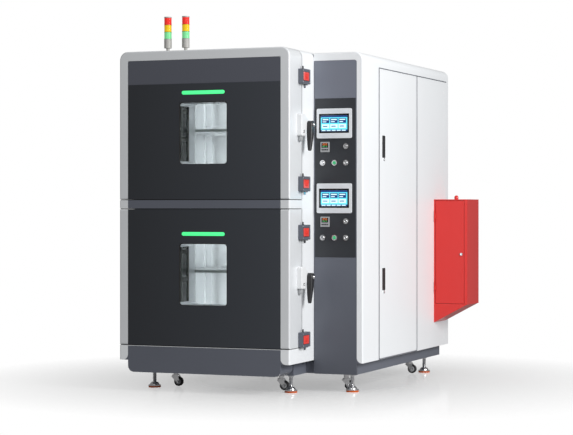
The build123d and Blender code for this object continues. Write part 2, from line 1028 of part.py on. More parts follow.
with BuildPart() as machine_casing:
    add(cabinet_body(0))
    add(cabinet_body(sheet), mode=Mode.SUBTRACT)
    ledge(
        facing(machine_front + cover_depth),
        side_x,
        cover_end + ledge_width / 2,
        machine_floor,
        cover_top + ledge_width / 2,
    )
    ledge(
        beside(machine_right - side_panel_inset),
        front + side_panel_start - ledge_width / 2,
        front + side_panel_end + ledge_width / 2,
        machine_floor,
        side_seam_height + ledge_width / 2,
    )
    block(
        facing(machine_front),
        side_x,
        cover_end,
        machine_floor,
        cover_top,
        -cover_depth,
        mode=Mode.SUBTRACT,
    )
    block(
        beside(machine_right),
        front + side_panel_start,
        front + side_panel_end,
        panel_low,
        side_seam_height,
        -side_panel_inset,
        mode=Mode.SUBTRACT,
    )
    for x0, x1, z0 in ((cover_end, cover_end + sheet, machine_floor), (side_x, cover_end, cover_top)):
        block(facing(machine_front + sheet), x0, x1, z0, cover_top + sheet, -cover_depth)
    cover_edges = machine_casing.edges().filter_by(Axis.Y)
    corner = (cover_end, machine_front + cover_depth / 2, cover_top)
    fillet(cover_edges.sort_by_distance(corner)[0], radius=cover_corner)
    for y0, y1, z0, z1 in (
        (side_panel_start - sheet, side_panel_start, machine_floor, side_seam_height + sheet),
        (side_panel_end, side_panel_end + sheet, machine_floor, side_seam_height + sheet),
        (side_panel_start, side_panel_end, side_seam_height, side_seam_height + sheet),
    ):
        block(beside(machine_right - sheet), front + y0, front + y1, z0, z1, -side_panel_inset)
    for low, high, z0, z1 in (
        (side_panel_end - groove, rear_seam, side_seam_height, side_seam_height + groove),
        (rear_seam, rear_seam + groove, machine_floor, side_seam_height + groove),
    ):
        block(beside(machine_right), front + low, front + high, z0, z1, -groove_depth, mode=Mode.SUBTRACT)
    with BuildSketch(facing(back - sheet)):
        with Locations((chamber_middle, louvre_bottom + louvre_rows * louvre_pitch / 2)):
            with GridLocations(louvre_width + rail_width, louvre_pitch, louvre_columns, louvre_rows):
                Rectangle(louvre_width, louvre_height)
    extrude(amount=-sheet, mode=Mode.SUBTRACT)
save(machine_casing, "machine_casing")

# Dark front cover of the machine cabinet, with the window for the control panel
cover_left = side_x + fit_clearance
cover_right = cover_end - face_clearance
cover_high = cover_top - face_clearance


def cover_outline(inset):
    """Front outline of the cover, drawn in by an inset. Its upper right corner is round."""
    left = cover_left + inset
    right = cover_right - inset
    bottom = cover_bottom + inset
    top = cover_high - inset
    turn = cover_corner - inset
    with BuildLine() as outline:
        Polyline((right - turn, top), (left, top), (left, bottom), (right, bottom), (right, top - turn))
        TangentArc((right, top - turn), (right - turn, top), tangent=(0, 1))
    make_face(outline.edges())


with BuildPart() as machine_front_cover:
    with BuildSketch(facing(machine_front)):
        cover_outline(0)
    extrude(amount=-(cover_depth - fit_clearance))
    with BuildSketch(facing(machine_front + sheet)):
        cover_outline(sheet)
    extrude(amount=-cover_depth, mode=Mode.SUBTRACT)
    block(
        facing(machine_front),
        cover_left + control_margin,
        cover_right - control_margin,
        control_bottom,
        control_top,
        -sheet,
        mode=Mode.SUBTRACT,
    )
save(machine_front_cover, "machine_front_cover")

# Black control panel with its cut-outs, seated in the cover's window
hmi_middles = (hmi_height, hmi_height - set_pitch)
hmi_x = chamber_right + instrument_middle
controller_x = chamber_right + controller_place
controller_middles = [z - controller_below_hmi for z in hmi_middles]
button_places = []
for z in hmi_middles:
    button_places.append((chamber_right + button_right, z - alarm_below_hmi))
    for x in (button_left, instrument_middle, button_right):
        button_places.append((chamber_right + x, z - buttons_below_hmi))
with BuildPart() as control_panel:
    block(
        facing(machine_front),
        cover_left + control_margin + fit_clearance,
        cover_right - control_margin - fit_clearance,
        control_bottom + fit_clearance,
        control_top - fit_clearance,
        -control_thickness,
    )
    with BuildSketch(facing(machine_front)):
        for z in hmi_middles:
            with Locations((hmi_x, z)):
                Rectangle(hmi_width - 4 * cut_margin, hmi_tall - 4 * cut_margin)
        for z in controller_middles:
            with Locations((controller_x, z)):
                Rectangle(controller_width - cut_margin, controller_tall - cut_margin)
        with Locations(*button_places):
            Circle(barrel_radius + fit_clearance)
    extrude(amount=-control_thickness, mode=Mode.SUBTRACT)
save(control_panel, "control_panel")

# Two operator panels: bezel on the control panel, body behind it
with BuildPart() as hmi_panels:
    for z in hmi_middles:
        block(
            facing(machine_front),
            hmi_x - hmi_width / 2,
            hmi_x + hmi_width / 2,
            z - hmi_tall / 2,
            z + hmi_tall / 2,
            hmi_proud,
            radius=hmi_corner,
        )
        half = hmi_width / 2 - 2 * cut_margin - fit_clearance
        tall = hmi_tall / 2 - 2 * cut_margin - fit_clearance
        block(facing(machine_front), hmi_x - half, hmi_x + half, z - tall, z + tall, -hmi_depth)
        block(
            facing(machine_front - hmi_proud),
            hmi_x - hmi_screen_width / 2,
            hmi_x + hmi_screen_width / 2,
            z - hmi_screen_tall / 2,
            z + hmi_screen_tall / 2,
            -hmi_screen_recess,
            mode=Mode.SUBTRACT,
        )
save(hmi_panels, "hmi_panels")

# Two temperature limiters
with BuildPart() as controllers:
    for z in controller_middles:
        block(
            facing(machine_front),
            controller_x - controller_width / 2,
            controller_x + controller_width / 2,
            z - controller_tall / 2,
            z + controller_tall / 2,
            controller_proud,
            radius=cut_margin / 2,
        )
        half = controller_width / 2 - cut_margin / 2 - fit_clearance
        tall = controller_tall / 2 - cut_margin / 2 - fit_clearance
        block(
            facing(machine_front),
            controller_x - half,
            controller_x + half,
            z - tall,
            z + tall,
            -controller_depth,
        )
save(controllers, "controllers")

# Bezels with their barrels, and the plungers that travel in them
with BuildPart() as button_bezels:
    for place in button_places:
        disc(facing(machine_front), place, bezel_radius, bezel_proud)
        disc(facing(machine_front), place, barrel_radius, -barrel_depth)
        disc(
            facing(machine_front - bezel_proud),
            place,
            button_radius + fit_clearance,
            -(bezel_proud + barrel_depth - sheet),
            mode=Mode.SUBTRACT,
        )
save(button_bezels, "button_bezels")

button_names = ("alarm_button", "light_button", "start_button", "stop_button")
for number, place in enumerate(button_places):
    with BuildPart() as button:
        disc(facing(machine_front - bezel_proud - button_proud), place, button_radius, -button_length)
        chamfer(button.edges().group_by(Axis.Y)[0], length=button_chamfer)
    group = "upper" if number < len(button_names) else "lower"
    save(button, f"{group}_{button_names[number % len(button_names)]}")

# Lift-off side panel with two handle cups and lock barrels
panel_start = front + side_panel_start + groove
panel_end = front + side_panel_end - groove
panel_bottom = panel_low + groove
panel_top = side_seam_height - groove
with BuildPart() as side_panel:
    depth = -(side_panel_inset - fit_clearance)
    block(beside(machine_right), panel_start, panel_end, panel_bottom, panel_top, depth)
    block(
        beside(machine_right - sheet),
        panel_start + sheet,
        panel_end - sheet,
        panel_bottom + sheet,
        panel_top - sheet,
        -side_panel_inset,
        mode=Mode.SUBTRACT,
    )
    cup_start = front + paddle_start - paddle_clearance
    cup_end = front + paddle_start + paddle_width + paddle_clearance
    for bottom in paddle_bottoms:
        z0 = bottom - paddle_clearance
        z1 = bottom + paddle_tall + paddle_clearance
        block(
            beside(machine_right),
            cup_start - sheet,
            cup_end + sheet,
            z0 - sheet,
            z1 + sheet,
            -(paddle_cup + sheet),
        )
        block(beside(machine_right), cup_start, cup_end, z0, z1, -paddle_cup, mode=Mode.SUBTRACT)
        disc(
            beside(machine_right),
            ((cup_start + cup_end) / 2, bottom - lock_drop),
            lock_radius,
            lock_proud,
        )
save(side_panel, "side_panel")

# Flush handles that swing out about their upper ends
for name, bottom in zip(("upper", "lower"), paddle_bottoms):
    with BuildPart() as paddle:
        y0 = front + paddle_start
        hinge_z = bottom + paddle_tall - paddle_thickness / 2
        block(
            beside(machine_right),
            y0,
            y0 + paddle_width,
            bottom,
            hinge_z,
            -paddle_thickness,
        )
        barrel = (machine_right - paddle_thickness / 2, hinge_z)
        disc(facing(y0), barrel, paddle_thickness / 2, -paddle_width)
    save(paddle, f"{name}_side_handle")

# Extinguisher box: slanting floor, inset door in front, outlet pipe on top
box_left = machine_right
box_right = box_left + box_width
box_front = front + box_start
box_back = box_front + box_depth
door_x0 = box_left + box_frame / 2
door_x1 = box_right - box_frame
door_z0 = box_outer_bottom + box_door_gap
door_z1 = box_top - box_frame / 3


def box_outline(inset):
    """Front outline of the box, with its floor falling towards the cabinet."""
    slope = (box_outer_bottom - box_inner_bottom) / box_width
    with BuildLine() as outline:
        Polyline(
            (box_left + inset, box_inner_bottom + slope * inset + inset),
            (box_right - inset, box_outer_bottom - slope * inset + inset),
            (box_right - inset, box_top - inset),
            (box_left + inset, box_top - inset),
            close=True,
        )
    make_face(outline.edges())


with BuildPart() as fire_box:
    with BuildSketch(facing(box_front)):
        box_outline(0)
    extrude(amount=-box_depth)
    with BuildSketch(facing(box_front + sheet)):
        box_outline(sheet)
    extrude(amount=-(box_depth - 2 * sheet), mode=Mode.SUBTRACT)
    block(facing(box_front), door_x0, door_x1, door_z0, door_z1, -sheet, mode=Mode.SUBTRACT)
    block(
        level(box_outer_bottom - sheet),
        box_left,
        box_right,
        box_front,
        box_back,
        sheet,
    )
    disc(level(box_top), ((box_left + box_right) / 2, (box_front + box_back) / 2), pipe_radius, pipe_height)
    hinge_at = (door_x0 - box_hinge_radius, box_front - box_hinge_radius)
    for z in (door_z0 + hinge_from_end, door_z1 - hinge_from_end):
        for start in (z - hinge_middle, z + hinge_middle / 2):
            disc(level(start), hinge_at, box_hinge_radius, hinge_middle / 2)
            block(
                level(start),
                hinge_at[0] - box_hinge_radius,
                hinge_at[0],
                hinge_at[1],
                box_front,
                hinge_middle / 2,
            )
save(fire_box, "fire_box")

with BuildPart() as fire_box_door:
    block(
        facing(box_front),
        door_x0 + box_door_gap,
        door_x1 - box_door_gap,
        door_z0 + box_door_gap,
        door_z1 - box_door_gap,
        -box_door_thickness,
    )
    inset = box_door_gap + sheet
    block(
        facing(box_front + sheet),
        door_x0 + inset,
        door_x1 - inset,
        door_z0 + inset,
        door_z1 - inset,
        -box_door_thickness,
        mode=Mode.SUBTRACT,
    )
    for z in (door_z0 + hinge_from_end, door_z1 - hinge_from_end):
        start = z - hinge_middle / 2 + fit_clearance
        block(
            level(start),
            hinge_at[0],
            door_x0 + box_door_gap + box_hinge_radius,
            box_front - box_hinge_radius,
            box_front,
            hinge_middle - 2 * fit_clearance,
        )
        disc(level(start), hinge_at, box_hinge_radius, hinge_middle - 2 * fit_clearance)
    lock_at = (door_x1 - box_lock_inset - box_lock_radius, box_outer_bottom + box_lock_rise)
    disc(facing(box_front), lock_at, box_lock_radius, lock_proud)
save(fire_box_door, "fire_box_door")

# Gas cylinder that stands on the box's floor, with its neck and valve
with BuildPart() as gas_cylinder:
    place = ((box_left + box_right) / 2, (box_front + box_back) / 2)
    disc(level(box_outer_bottom), place, cylinder_radius, cylinder_height)
    fillet(gas_cylinder.edges().group_by(Axis.Z)[-1], radius=cylinder_shoulder)
    disc(level(box_outer_bottom + cylinder_height), place, neck_radius, neck_height)
    with BuildSketch(level(box_outer_bottom + cylinder_height + neck_height)):
        with Locations(place):
            Rectangle(valve_width, valve_width / 2)
    extrude(amount=valve_height)
save(gas_cylinder, "gas_cylinder")

# Welded base frame: rails under the chamber and under the cabinet, with mounting plates
foot_places = (
    (chamber_left + chamber_foot_inset, front + chamber_foot_place),
    (chamber_right - chamber_foot_inset, front + chamber_foot_place),
    (machine_right - machine_foot_inset, front + front_machine_foot_place),
    (machine_right - machine_foot_inset, front + rear_machine_foot_place),
    (chamber_left + chamber_foot_inset, front + rear_left_foot_place),
)
caster_places = (
    (chamber_left + chamber_caster_inset, front + chamber_caster_place),
    (chamber_right - chamber_caster_inset, front + chamber_caster_place),
    (machine_right - machine_caster_inset, front + front_machine_caster_place),
    (machine_right - machine_caster_inset, front + rear_machine_caster_place),
    (chamber_left + chamber_caster_inset, front + rear_left_caster_place),
)
base_back = back - base_rear_inset
machine_base_front = machine_front + cover_depth


def rail_frame(x0, x1, y0, y1, top):
    """Rectangle of upward-open channel rails."""
    depth = top - base_bottom
    block(level(base_bottom), x0, x1, y0, y1, depth)
    block(
        level(base_bottom),
        x0 + rail_width,
        x1 - rail_width,
        y0 + rail_width,
        y1 - rail_width,
        depth,
        mode=Mode.SUBTRACT,
    )
    with BuildSketch(level(base_bottom + rail_wall)) as channel:
        span(x0 + rail_wall, x1 - rail_wall, y0 + rail_wall, y1 - rail_wall)
        with Locations(((x0 + x1) / 2, (y0 + y1) / 2)):
            within = 2 * (rail_width - rail_wall)
            Rectangle(x1 - x0 - within, y1 - y0 - within, mode=Mode.SUBTRACT)
    extrude(channel.sketch, amount=depth, mode=Mode.SUBTRACT)


with BuildPart() as base_frame:
    rail_frame(base_left, base_right, body_front, chamber_back, chamber_floor)
    rail_frame(base_left, machine_base_right, rear_start, base_back, machine_floor)
    rail_frame(base_right, machine_base_right, machine_base_front, rear_start, machine_floor)
    for (x, y), (cx, cy) in zip(foot_places, caster_places):
        block(
            level(base_bottom),
            min(x, cx) - foot_radius,
            max(x, cx) + foot_radius,
            min(y, cy) - foot_radius,
            max(y, cy) + foot_radius,
            rail_wall,
        )
save(base_frame, "base_frame")

# Levelling feet: rubber pad, domed foot, stem and lock nut under the base
with BuildPart() as levelling_feet:
    for x, y in foot_places:
        disc(level(0), (x, y), foot_radius, foot_pad)
        rim = (x + foot_dome_radius, foot_pad)
        crest = (x + foot_stem_radius, foot_pad + foot_dome)
        with BuildSketch(facing(y)):
            with BuildLine():
                Line((x, foot_pad), rim)
                TangentArc(rim, crest, tangent=(0, 1))
                Line(crest, (x, crest[1]))
                Line((x, crest[1]), (x, foot_pad))
            make_face()
        revolve(axis=Axis((x, y, 0), (0, 0, 1)))
        disc(level(foot_pad), (x, y), foot_stem_radius, base_bottom - foot_pad)
        with BuildSketch(level(base_bottom - foot_nut)):
            with Locations((x, y)):
                RegularPolygon(foot_nut_radius, 6)
        extrude(amount=foot_nut)
save(levelling_feet, "levelling_feet")

# Casters: swivel fork on its race, and the wheel that turns on the fork's axle
axle_height = wheel_clear + wheel_radius
caster_names = ("front_left", "front_right", "cabinet_front", "cabinet_rear", "rear_left")
for name, (x, y) in zip(caster_names, caster_places):
    inner = wheel_width / 2 + fork_gap
    outer = inner + fork_wall
    crown = axle_height + wheel_radius + fork_gap + fork_wall
    axle_x = x + caster_trail
    with BuildPart() as fork:
        for start in (y - outer, y + inner):
            with BuildSketch(facing(start)):
                with Locations((axle_x, axle_height)):
                    Circle(2 * axle_radius)
                with Locations((x, crown - fork_wall / 2)):
                    Rectangle(2 * caster_race_radius, fork_wall)
                make_hull()
            extrude(amount=-fork_wall)
        block(
            level(crown - fork_wall),
            x - caster_race_radius,
            x + caster_race_radius,
            y - outer,
            y + outer,
            fork_wall,
        )
        disc(level(crown), (x, y), caster_race_radius, caster_race)
        disc(
            level(crown + caster_race),
            (x, y),
            caster_race_radius - caster_race,
            base_bottom - crown - caster_race - fit_clearance,
        )
        disc(facing(y - outer), (axle_x, axle_height), axle_radius, -2 * outer)
    save(fork, f"{name}_caster_fork")
    with BuildPart() as wheel:
        disc(facing(y - wheel_width / 2), (axle_x, axle_height), wheel_radius, -wheel_width)
        chamfer(wheel.edges().filter_by(GeomType.CIRCLE), length=wheel_chamfer)
        disc(
            facing(y - wheel_width / 2),
            (axle_x, axle_height),
            axle_radius + wheel_running,
            -wheel_width,
            mode=Mode.SUBTRACT,
        )
    save(wheel, f"{name}_caster_wheel")
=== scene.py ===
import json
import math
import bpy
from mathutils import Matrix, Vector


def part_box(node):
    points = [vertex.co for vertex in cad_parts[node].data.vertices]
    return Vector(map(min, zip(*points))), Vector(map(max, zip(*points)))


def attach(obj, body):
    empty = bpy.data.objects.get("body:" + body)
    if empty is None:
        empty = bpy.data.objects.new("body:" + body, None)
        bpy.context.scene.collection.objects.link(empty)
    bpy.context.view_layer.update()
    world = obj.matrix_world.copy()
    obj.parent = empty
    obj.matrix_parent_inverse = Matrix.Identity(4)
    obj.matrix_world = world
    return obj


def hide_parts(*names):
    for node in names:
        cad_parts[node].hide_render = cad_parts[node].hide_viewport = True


bl_info = {
    "name": "Battery Test Chamber",
    "version": (1, 0, 0),
    "blender": (4, 5, 0),
    "location": "3D View > Sidebar > Chamber",
    "description": "Dresses the packed test chamber with its finishes, fittings and studio",
    "category": "Object",
}

import bmesh
import bpy
from bpy.props import FloatProperty, FloatVectorProperty, IntProperty, PointerProperty
from mathutils import Matrix, Vector

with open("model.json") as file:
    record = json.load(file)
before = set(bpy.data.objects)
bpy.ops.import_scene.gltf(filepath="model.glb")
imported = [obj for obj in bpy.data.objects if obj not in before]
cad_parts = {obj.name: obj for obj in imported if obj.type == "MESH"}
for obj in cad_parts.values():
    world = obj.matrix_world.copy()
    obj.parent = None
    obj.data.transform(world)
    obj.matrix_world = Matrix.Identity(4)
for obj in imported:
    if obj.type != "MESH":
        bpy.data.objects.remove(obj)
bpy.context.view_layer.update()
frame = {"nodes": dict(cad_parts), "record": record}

SIDES = ("upper", "lower")
CASTERS = ("front_left", "front_right", "cabinet_front", "cabinet_rear", "rear_left")
BUTTONS = ("alarm", "light", "start", "stop")
SHARP = math.radians(35)

# Camera fitted to the photo
CAMERA_PLACE = (3.8078, -9.8247, 0.9819)
CAMERA_TURN = math.radians(21.877)
CAMERA_LENS = 116.26
CAMERA_SHIFT = -0.01745


def length(name, description, default):
    """Property for a length in metres."""
    return FloatProperty(
        name=name,
        description=description,
        default=default,
        min=0.0,
        precision=4,
        unit="LENGTH",
        subtype="DISTANCE",
    )


def colour(name, description, default):
    """Property for a colour, written as linear red, green and blue."""
    return FloatVectorProperty(
        name=name, description=description, default=default, min=0.0, max=1.0, size=3, subtype="COLOR"
    )


class ChamberSizes(bpy.types.PropertyGroup):
    """Sizes of the fittings that the frame doesn't have"""

    glass_overlap: length("Glass overlap", "How far the outer pane reaches behind the door face", 0.014)
    window_corner: length("Window corner", "Corner radius of the windows", 0.020)
    header_height: length("Header height", "From the seam up to the top of the upper door's face", 0.128)
    gasket_width: length("Gasket width", "Visible width of the window gasket", 0.004)
    strip_length: length("Light strip length", "Length of the status light over a window", 0.250)
    strip_height: length("Light strip height", "Height of the status light", 0.022)
    strip_rise: length("Light strip rise", "From the window's top to the strip's middle", 0.049)
    lamp_width: length("Lamp width", "Width of the lamp in a compartment", 0.300)
    screw_radius: length("Screw radius", "Radius of the panel screws' heads", 0.0045)
    latch_length: length("Latch length", "Length of a latch body along the door's side", 0.106)
    latch_height: length("Latch height", "Height of a latch body", 0.078)
    screen_width: length("Screen width", "Width of an operator panel's screen recess", 0.170)
    screen_height: length("Screen height", "Height of an operator panel's screen recess", 0.103)
    collar_radius: length("Button collar radius", "Radius of the dark collar under a button's ring", 0.0172)
    lens_groove: length("Lens groove", "Depth of the ribs on the tower lenses", 0.0008)
    pad_height: length("Foot pad height", "Height of the rubber pads under the feet", 0.009)
    handle_proud: length("Handle depth", "How far a handle block stands off the door's side", 0.028)
    lever_lean: length("Lever lean", "How far a lever's tip lies in front of its pivot", 0.020)
    lever_drop: length("Lever drop", "From a lever's pivot down to its tip", 0.128)
    spacer_depth: length("Window spacer depth", "Depth of the dark spacer between the panes", 0.108)
    spacer_slot: length("Window spacer slot", "Length of a slot in the spacer", 0.124)
    # the dark gap strips are painted shade in the gaps round the doors
    gap_strip: length("Gap strip height", "Height of the dark strips in the gaps round the doors", 0.003)
    frame_corner: length("Frame corner", "Radius of the dark corners at the foot of the white frames", 0.030)
    # the seam lines are painted shade in the joints round the side panel
    seam_width: length("Seam width", "Width of the dark joints round the side panel", 0.004)
    seam_end: length("Seam end", "How far a joint of the side sheets stops before the cabinet's back", 0.045)
    # the grey plate under a handle block is partly a plate and partly the block's painted shadow
    sleeve_shadow_length: length("Handle sleeve", "Length of the plate under a handle block", 0.026)
    tread_width: length("Tread width", "Width of the tread on a caster wheel", 0.014)
    louvre_tilt: FloatProperty(
        name="Louvre tilt",
        description="Slope of the rear louvre blades",
        default=math.radians(35),
        subtype="ANGLE",
    )
    lens_ribs: IntProperty(name="Lens ribs", description="Ribs on one tower lens", default=8, min=2)


class ChamberColours(bpy.types.PropertyGroup):
    """Colours of the finishes"""

    white: colour("White paint", "Casing of chamber and cabinet", (0.86, 0.88, 0.90))
    silver: colour("Silver paint", "Frames of the doors", (0.78, 0.80, 0.82))
    door_dark: colour("Door face", "Dark front of the doors", (0.022, 0.025, 0.031))
    door_header: colour("Door header", "Lighter field over the seam of the upper door", (0.090, 0.096, 0.120))
    slate: colour("Slate paint", "Middle band, skirt and cabinet front", (0.120, 0.130, 0.160))
    panel_black: colour("Control panel", "Panel that carries the instruments", (0.024, 0.027, 0.033))
    signal_red: colour("Red paint", "Extinguisher box", (0.64, 0.020, 0.016))
    latch_grey: colour("Latch grey", "Latch bodies", (0.110, 0.120, 0.150))
    release_red: colour("Release red", "Latch release plates", (0.80, 0.060, 0.045))
    strip_green: colour("Status light", "Light strips over the windows", (0.08, 0.90, 0.28))
    screen_cyan: colour("Screen", "Lit field of the operator panels", (0.10, 0.62, 0.78))
    pad_orange: colour("Foot pad", "Rubber of the levelling feet", (0.58, 0.10, 0.012))
    wall_white: colour("Studio", "Floor and background", (1.0, 1.0, 1.0))


def sizes():
    """The sizes that the panel shows."""
    return bpy.context.scene.chamber_sizes


def colours():
    """The colours that the panel shows."""
    return bpy.context.scene.chamber_colours


# Node groups that several finishes share


def new_group(name, inputs, outputs):
    """Empty shader group with named sockets, and its input and output nodes."""
    tree = bpy.data.node_groups.new(name, "ShaderNodeTree")
    for label, kind, value in inputs:
        socket = tree.interface.new_socket(label, in_out="INPUT", socket_type=kind)
        socket.default_value = value
    for label, kind in outputs:
        tree.interface.new_socket(label, in_out="OUTPUT", socket_type=kind)
    return tree, tree.nodes.new("NodeGroupInput"), tree.nodes.new("NodeGroupOutput")


def add_noise(tree, vector, scale, detail):
    """Noise texture on a vector; scale is a number or a socket."""
    noise = tree.nodes.new("ShaderNodeTexNoise")
    noise.inputs["Detail"].default_value = detail
    tree.links.new(vector, noise.inputs["Vector"])
    if isinstance(scale, (int, float)):
        noise.inputs["Scale"].default_value = scale
    else:
        tree.links.new(scale, noise.inputs["Scale"])
    return noise.outputs["Fac"]


def add_bump(tree, height, strength, distance):
    """Bump from a height; strength is a number or a socket."""
    bump = tree.nodes.new("ShaderNodeBump")
    bump.inputs["Distance"].default_value = distance
    tree.links.new(height, bump.inputs["Height"])
    if isinstance(strength, (int, float)):
        bump.inputs["Strength"].default_value = strength
    else:
        tree.links.new(strength, bump.inputs["Strength"])
    return bump.outputs["Normal"]


def grain_group():
    """Fine surface grain with a slow change of tone: for paint, plastic and rubber."""
    tree, source, result = new_group(
        "Surface grain",
        (("Scale", "NodeSocketFloat", 900.0), ("Depth", "NodeSocketFloat", 0.1)),
        (("Tone", "NodeSocketFloat"), ("Grain", "NodeSocketFloat"), ("Normal", "NodeSocketVector")),
    )
    place = tree.nodes.new("ShaderNodeTexCoord").outputs["Object"]
    fine = add_noise(tree, place, source.outputs["Scale"], 2.0)
    tree.links.new(add_noise(tree, place, 3.1, 3.0), result.inputs["Tone"])
    tree.links.new(fine, result.inputs["Grain"])
    tree.links.new(add_bump(tree, fine, source.outputs["Depth"], 0.0004), result.inputs["Normal"])
    return tree


def brushed_group():
    """Long fine scratches along X, as on brushed stainless sheet."""
    tree, source, result = new_group(
        "Brushed sheet",
        (("Fineness", "NodeSocketFloat", 700.0), ("Depth", "NodeSocketFloat", 0.1)),
        (("Tone", "NodeSocketFloat"), ("Scratch", "NodeSocketFloat"), ("Normal", "NodeSocketVector")),
    )
    place = tree.nodes.new("ShaderNodeTexCoord").outputs["Object"]
    stretch = tree.nodes.new("ShaderNodeMapping")
    stretch.inputs["Scale"].default_value = (0.02, 0.02, 1.0)
    tree.links.new(place, stretch.inputs["Vector"])
    scratch = add_noise(tree, stretch.outputs["Vector"], source.outputs["Fineness"], 3.0)
    # slow vertical streaks of tone; on the stainless they are partly the sheet's own tone and partly painted
    # reflection streaks
    upright = tree.nodes.new("ShaderNodeMapping")
    upright.inputs["Scale"].default_value = (1.0, 1.0, 0.12)
    tree.links.new(place, upright.inputs["Vector"])
    tree.links.new(add_noise(tree, upright.outputs["Vector"], 12.0, 1.5), result.inputs["Tone"])
    tree.links.new(scratch, result.inputs["Scratch"])
    tree.links.new(add_bump(tree, scratch, source.outputs["Depth"], 0.0003), result.inputs["Normal"])
    return tree


GROUPS = {}


def shared(name):
    """A shared node group, built when it is first wanted."""
    if name not in GROUPS:
        GROUPS[name] = {"grain": grain_group, "brushed": brushed_group}[name]()
    return GROUPS[name]


# Finishes

FINISHES = {}


def start_finish(name):
    """New material, its node tree and its shader."""
    material = bpy.data.materials.new(name)
    material.use_nodes = True
    tree = material.node_tree
    FINISHES[name] = material
    return material, tree, tree.nodes["Principled BSDF"]


def place_group(tree, name, **values):
    """Puts a shared group in a material with its own values."""
    node = tree.nodes.new("ShaderNodeGroup")
    node.node_tree = shared(name)
    for label, value in values.items():
        node.inputs[label].default_value = value
    return node


def blend_colours(tree, mask, first, second):
    """Colour that runs from the first to the second as the mask goes from 0 to 1."""
    mix = tree.nodes.new("ShaderNodeMix")
    mix.data_type = "RGBA"
    tree.links.new(mask, mix.inputs["Factor"])
    for socket, value in ((mix.inputs[6], first), (mix.inputs[7], second)):
        if isinstance(value, bpy.types.NodeSocket):
            tree.links.new(value, socket)
        else:
            socket.default_value = (*value, 1.0)
    return mix.outputs[2]


def map_range(tree, value, low, high, to_low, to_high):
    """A value moved from one range to another, and held at its ends."""
    node = tree.nodes.new("ShaderNodeMapRange")
    tree.links.new(value, node.inputs["Value"])
    for label, number in (("From Min", low), ("From Max", high), ("To Min", to_low), ("To Max", to_high)):
        node.inputs[label].default_value = number
    return node.outputs["Result"]


def object_axis(tree, axis):
    """The place along one axis, in metres."""
    split = tree.nodes.new("ShaderNodeSeparateXYZ")
    tree.links.new(tree.nodes.new("ShaderNodeTexCoord").outputs["Object"], split.inputs["Vector"])
    return split.outputs[axis]


def shade(tint, amount):
    """A colour made darker or lighter by a factor."""
    return tuple(min(1.0, part * amount) for part in tint)


def coated(name, tint, roughness, scale=900.0, depth=0.08, spread=0.06, metallic=0.0, coat=0.0):
    """Painted or moulded finish: fine grain, a slow change of tone and of gloss."""
    material, tree, shader = start_finish(name)
    grain = place_group(tree, "grain", Scale=scale, Depth=depth)
    tone = blend_colours(tree, grain.outputs["Tone"], shade(tint, 1 - spread), shade(tint, 1 + spread))
    tree.links.new(tone, shader.inputs["Base Color"])
    gloss = map_range(tree, grain.outputs["Grain"], 0.3, 0.7, roughness * 0.85, roughness * 1.15)
    tree.links.new(gloss, shader.inputs["Roughness"])
    tree.links.new(grain.outputs["Normal"], shader.inputs["Normal"])
    shader.inputs["Metallic"].default_value = metallic
    shader.inputs["Coat Weight"].default_value = coat
    return material


def repaint(material, mask, second):
    """Blends a second colour over a finish where the mask is 1."""
    tree = material.node_tree
    base = tree.nodes["Principled BSDF"].inputs["Base Color"]
    tree.links.new(blend_colours(tree, mask, base.links[0].from_socket, second), base)


def step_mask(tree, axis, place, below=0.0, above=1.0, half=0.0003):
    """Mask that changes at a place along an axis, from the value below it to the one above."""
    return map_range(tree, object_axis(tree, axis), place - half, place + half, below, above)


def painted_light_ramp(name, first, second, axis, start, end, roughness, coat=0.0):
    """Painted finish whose colour runs along an axis between two places, as painted light and shade."""
    material = coated(name, first, roughness, coat=coat)
    tree = material.node_tree
    repaint(material, map_range(tree, object_axis(tree, axis), start, end, 0.0, 1.0), second)
    return material


def metal(name, tint, roughness, depth=0.05, fineness=700.0, spread=0.05):
    """Metal with fine scratches along one direction."""
    material, tree, shader = start_finish(name)
    brushed = place_group(tree, "brushed", Fineness=fineness, Depth=depth)
    tone = blend_colours(tree, brushed.outputs["Tone"], shade(tint, 1 - spread), shade(tint, 1 + spread))
    tree.links.new(tone, shader.inputs["Base Color"])
    gloss = map_range(tree, brushed.outputs["Scratch"], 0.3, 0.7, roughness * 0.7, roughness * 1.3)
    tree.links.new(gloss, shader.inputs["Roughness"])
    tree.links.new(brushed.outputs["Normal"], shader.inputs["Normal"])
    shader.inputs["Metallic"].default_value = 1.0
    return material


def glowing(name, tint, strength, roughness=0.35):
    """Lit plastic: its glow changes slightly over the surface."""
    material = coated(name, shade(tint, 0.7), roughness, depth=0.03)
    tree = material.node_tree
    shader = tree.nodes["Principled BSDF"]
    grain = place_group(tree, "grain", Scale=60.0, Depth=0.0)
    glow = blend_colours(tree, grain.outputs["Grain"], shade(tint, 0.92), shade(tint, 1.05))
    tree.links.new(glow, shader.inputs["Emission Color"])
    shader.inputs["Emission Strength"].default_value = strength
    return material


def clear_glass(name, tint):
    """Clear pane with faint wipe marks in its gloss."""
    material, tree, shader = start_finish(name)
    grain = place_group(tree, "grain", Scale=40.0, Depth=0.0)
    gloss = map_range(tree, grain.outputs["Grain"], 0.3, 0.8, 0.0, 0.05)
    tree.links.new(gloss, shader.inputs["Roughness"])
    shader.inputs["Base Color"].default_value = (*tint, 1.0)
    shader.inputs["Transmission Weight"].default_value = 1.0
    shader.inputs["IOR"].default_value = 1.12
    return material


def door_face_finish():
    """Dark semi-gloss face with painted shade and light: darker at the hinge side, lighter towards the free
    side where the key light falls, with a lighter header over the seam.
    """
    low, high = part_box("upper_door_face")
    seam = high.z - sizes().header_height
    dark = colours().door_dark
    for side in SIDES:
        # painted light: the face is painted lighter from the hinge side to the free side
        material = painted_light_ramp(f"{side}_door_dark", dark, shade(dark, 1.9), "X", low.x, high.x, 0.34, 0.15)
        mask = step_mask(material.node_tree, "Z", seam, half=0.0005)
        repaint(material, mask, colours().door_header)


